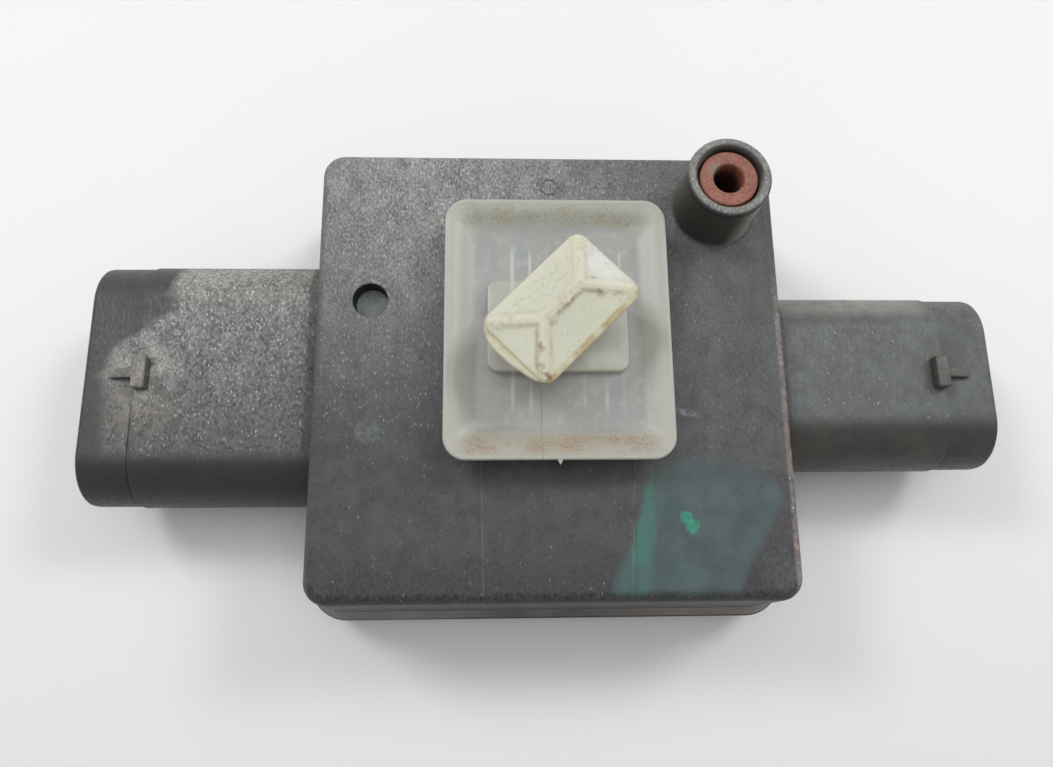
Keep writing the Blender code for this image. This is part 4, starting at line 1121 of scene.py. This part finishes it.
tone = layer(tone, (0.84, 0.85, 0.84), scuffs, between(sloped, 1.0, 0.0), 0.22)
in_boss = product(span(far_across, 7.5, 7.35), span(far_along, 5.05, 4.9), above_deck(z, 3.3, 3.5))
boss_tone = mixed(blotches(place, 420.0, 5.0, 0.35, 0.65), (0.64, 0.65, 0.56, 1), (0.82, 0.83, 0.74, 1))
clearer = scaled(span(across, -4, 5), 0.6, 0.25)
tone = mixed(product(in_boss, clearer), tone, boss_tone)
# Painted highlight along the boss's edge.
boss_edge_highlight = above_deck(z, 4.19, 4.08)
tone = layer(tone, (0.90, 0.87, 0.60), in_boss, boss_edge_highlight, clearer)
ends = product(
    span(far_along, 11.0, 12.1),
    span(far_along, 14.1, 13.2),
    span(far_across, 11.2, 8.4),
    blotches(place, 300.0, 4.0, 0.25, 0.65),
)
at_front = calc("LESS_THAN", along, 0.0)
stain = mixed(at_front, (0.44, 0.43, 0.30, 1), (0.56, 0.41, 0.25, 1))
tone = mixed(product(ends, 0.5), tone, stain)
dirt = mixed(at_front, (0.20, 0.18, 0.10, 1), (0.23, 0.13, 0.07, 1))
tone = mixed(product(ends, specks, 0.55), tone, dirt)
line = product(
    between(calc("ABSOLUTE", calc("ADD", across, 1.8 * mm)), 0.10 * mm, 0.03 * mm),
    span(along, -5.8, -7.0),
)
tone = layer(tone, (0.42, 0.30, 0.22), line, 0.5)
give_colour(shader, tone)
give_relief(shader, noise(place, 1500.0, 4.0), 0.04 * mm)

thick_nylon, tree, shader, place, x, y, z, across, along = start_nylon(
    "thick_nylon", 0.34, 0.12, 0.9, 2.2 * mm
)
specks = blotches(place, 4200.0, 3.0, 0.46, 0.66)
tone = mixed(noise(place, 200.0, 4.0), (0.67, 0.68, 0.53, 1), (0.74, 0.74, 0.64, 1))
turn = math.sqrt(0.5)
long_way = product(calc("ADD", across, along), turn)
short_way = product(calc("SUBTRACT", along, across), turn)
off_ridge = calc("SUBTRACT", short_way, roof_shift * mm)
from_side = calc("SUBTRACT", roof_width / 2 * mm, calc("ABSOLUTE", off_ridge))
from_end = calc("SUBTRACT", roof_length / 2 * mm, calc("ABSOLUTE", long_way))
off_hip = product(apart(from_side, from_end), turn)
on_ridge = calc("GREATER_THAN", from_end, roof_width / 2 * mm)
off_both = calc("MINIMUM", off_hip, calc("ABSOLUTE", off_ridge))
off_rib = node(tree, "ShaderNodeMix", {0: on_ridge, 2: off_hip, 3: off_both}).outputs[0]
off_rib = calc("ADD", off_rib, scaled(noise(place, 500.0, 3.0), 0.5 * mm, -0.25 * mm))
on_roof = above_deck(z, 10.15, 10.4)
rib_top = span(off_rib, 0.8, 0.4)
tone = layer(tone, (0.70, 0.60, 0.44), rib_top, on_roof, clouded(place, 700.0, 5.0, 0.4, 0.02))
sheen = product(span(long_way, 3.4, 5.2), between(calc("ABSOLUTE", short_way), 3.0 * mm, 1.0 * mm))
tone = layer(tone, (0.80, 0.82, 0.84), sheen, on_roof, 0.5)
beside = apart(off_rib, 0.68 * mm)
lower_side = scaled(span(off_ridge, 0.8, -0.4), 0.75, 0.25)
grime = product(
    span(beside, 0.34, 0.06),
    blotches(place, 380.0, 4.0, 0.42, 0.58),
    scaled(specks, 0.4, 0.25),
    lower_side,
    on_roof,
)
tone = layer(tone, (0.28, 0.19, 0.10), grime)
below_roof = above_deck(z, 10.32, 10.12)
glow = product(below_roof, blotches(place, 300.0, 4.0, 0.2, 0.6))
tone = layer(tone, (0.66, 0.56, 0.30), glow, 0.6)
long_ledge = span(short_way, -3.85, -4.15)
ambered = blotches(place, 520.0, 5.0, 0.36, 0.64)
tone = layer(tone, (0.40, 0.25, 0.09), long_ledge, ambered, scaled(specks, 0.35, 0.5))
end_dirt = product(below_roof, span(long_way, -6.6, -7.0))
tone = layer(tone, (0.36, 0.24, 0.10), end_dirt, blotches(place, 700.0, 5.0, 0.50, 0.66), 0.5)
clusters = blotches(place, 320.0, 3.0, 0.35, 0.6)
scuffed = product(
    span(short_way, 0.6, 1.7),
    span(short_way, 4.3, 3.1),
    blotches(place, 2400.0, 5.0, 0.48, 0.62),
    clusters,
)
tone = layer(tone, (0.34, 0.34, 0.35), scuffed, 0.3)
blotch = blotches(place, 1500.0, 4.0, 0.44, 0.58)
for centre, radius, share in (
    ((-1.78, -7.3), 0.9, 0.7),
    ((-2.2, -4.4), 0.7, 0.65),
    ((-2.25, -6.3), 0.7, 0.4),
    ((3.6, 1.15), 0.9, 0.3),
    ((5.4, 0.95), 0.8, 0.35),
    ((-1.1, -1.8), 0.8, 0.3),
):
    centre = (clip_place.x / mm + centre[0], clip_place.y / mm + centre[1])
    stained = round_mask(x, y, centre, radius, radius * 0.7)
    tone = layer(tone, (0.18, 0.11, 0.055), stained, blotch, share)
worn_button = above_deck(z, 11.6, 11.7)
tone = layer(tone, (0.55, 0.48, 0.36), worn_button, 0.5)
fine_dirt = blotches(place, 3600.0, 4.0, 0.60, 0.72)
tone = layer(tone, (0.34, 0.28, 0.18), fine_dirt, 0.35)
give_colour(shader, tone)
give_relief(shader, noise(place, 1300.0, 4.0), 0.05 * mm)
finished(clip, milky_nylon)
clip.data.materials.append(thick_nylon)
for face in clip.data.polygons:
    face.material_index = 1 if face.center.z > deck + 4.5 * mm else 0
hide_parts("mounting_clip")
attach(clip, "clip")


# Table, light and camera
# The module lies on a white table under broad soft light from above and behind, seen from almost straight
# above by a phone held a hand's breadth away.
table_form = bmesh.new()
bmesh.ops.create_grid(table_form, x_segments=1, y_segments=1, size=2.0)
table = as_object("white_table", table_form)
table_white, tree, shader, place, x, y, z = start_material("table_white", 0.6)
tone = mixed(noise(place, 60.0, 3.0), (0.855, 0.855, 0.86, 1), (0.875, 0.875, 0.875, 1))
# Painted shade: the table darker towards the front, where the light from behind falls off.
near = span(y, 30, -70)
tone = mixed(near, tone, (0.775, 0.77, 0.78, 1))
give_colour(shader, tone)
table.data.materials.append(table_white)

world = bpy.data.worlds.new("room")
bpy.context.scene.world = world
world.use_nodes = True
background = world.node_tree.nodes["Background"].inputs
background["Color"].default_value = (1.0, 1.0, 1.0, 1.0)
background["Strength"].default_value = 0.36

for name, where, size, power in (
    ("window_behind_left", (-0.42, 0.30, 0.56), (0.20, 0.20), 1.6),
    ("window_behind_right", (0.42, 0.30, 0.56), (0.20, 0.20), 1.5),
    ("ceiling_panel", (0.0, 0.10, 0.80), (0.7, 0.6), 2.1),
):
    lamp = bpy.data.lights.new(name, "AREA")
    lamp.shape = "RECTANGLE"
    lamp.size, lamp.size_y = size
    lamp.energy = power
    holder = bpy.data.objects.new(name, lamp)
    holder.location = where
    holder.rotation_euler = (Vector((0, 0, 0.01)) - Vector(where)).to_track_quat("-Z", "Y").to_euler()
    bpy.context.collection.objects.link(holder)

focal_pixels = 805.72
photo_width = 1053
camera = bpy.data.cameras.new("phone")
camera.sensor_width = 36.0
camera.lens = focal_pixels / photo_width * camera.sensor_width
camera.clip_start = 1 * mm
eye = bpy.data.objects.new("phone", camera)
tilt = Matrix.Rotation(-0.0013, 3, "Z") @ Matrix.Rotation(0.2366, 3, "X") @ Matrix.Rotation(-0.0396, 3, "Y")
eye.matrix_world = Matrix.Translation(Vector((-6.3325, -22.5903, 104.8818)) * mm) @ tilt.to_4x4()
bpy.context.collection.objects.link(eye)
bpy.context.scene.camera = eye
bpy.context.scene.view_settings.view_transform = "Standard"
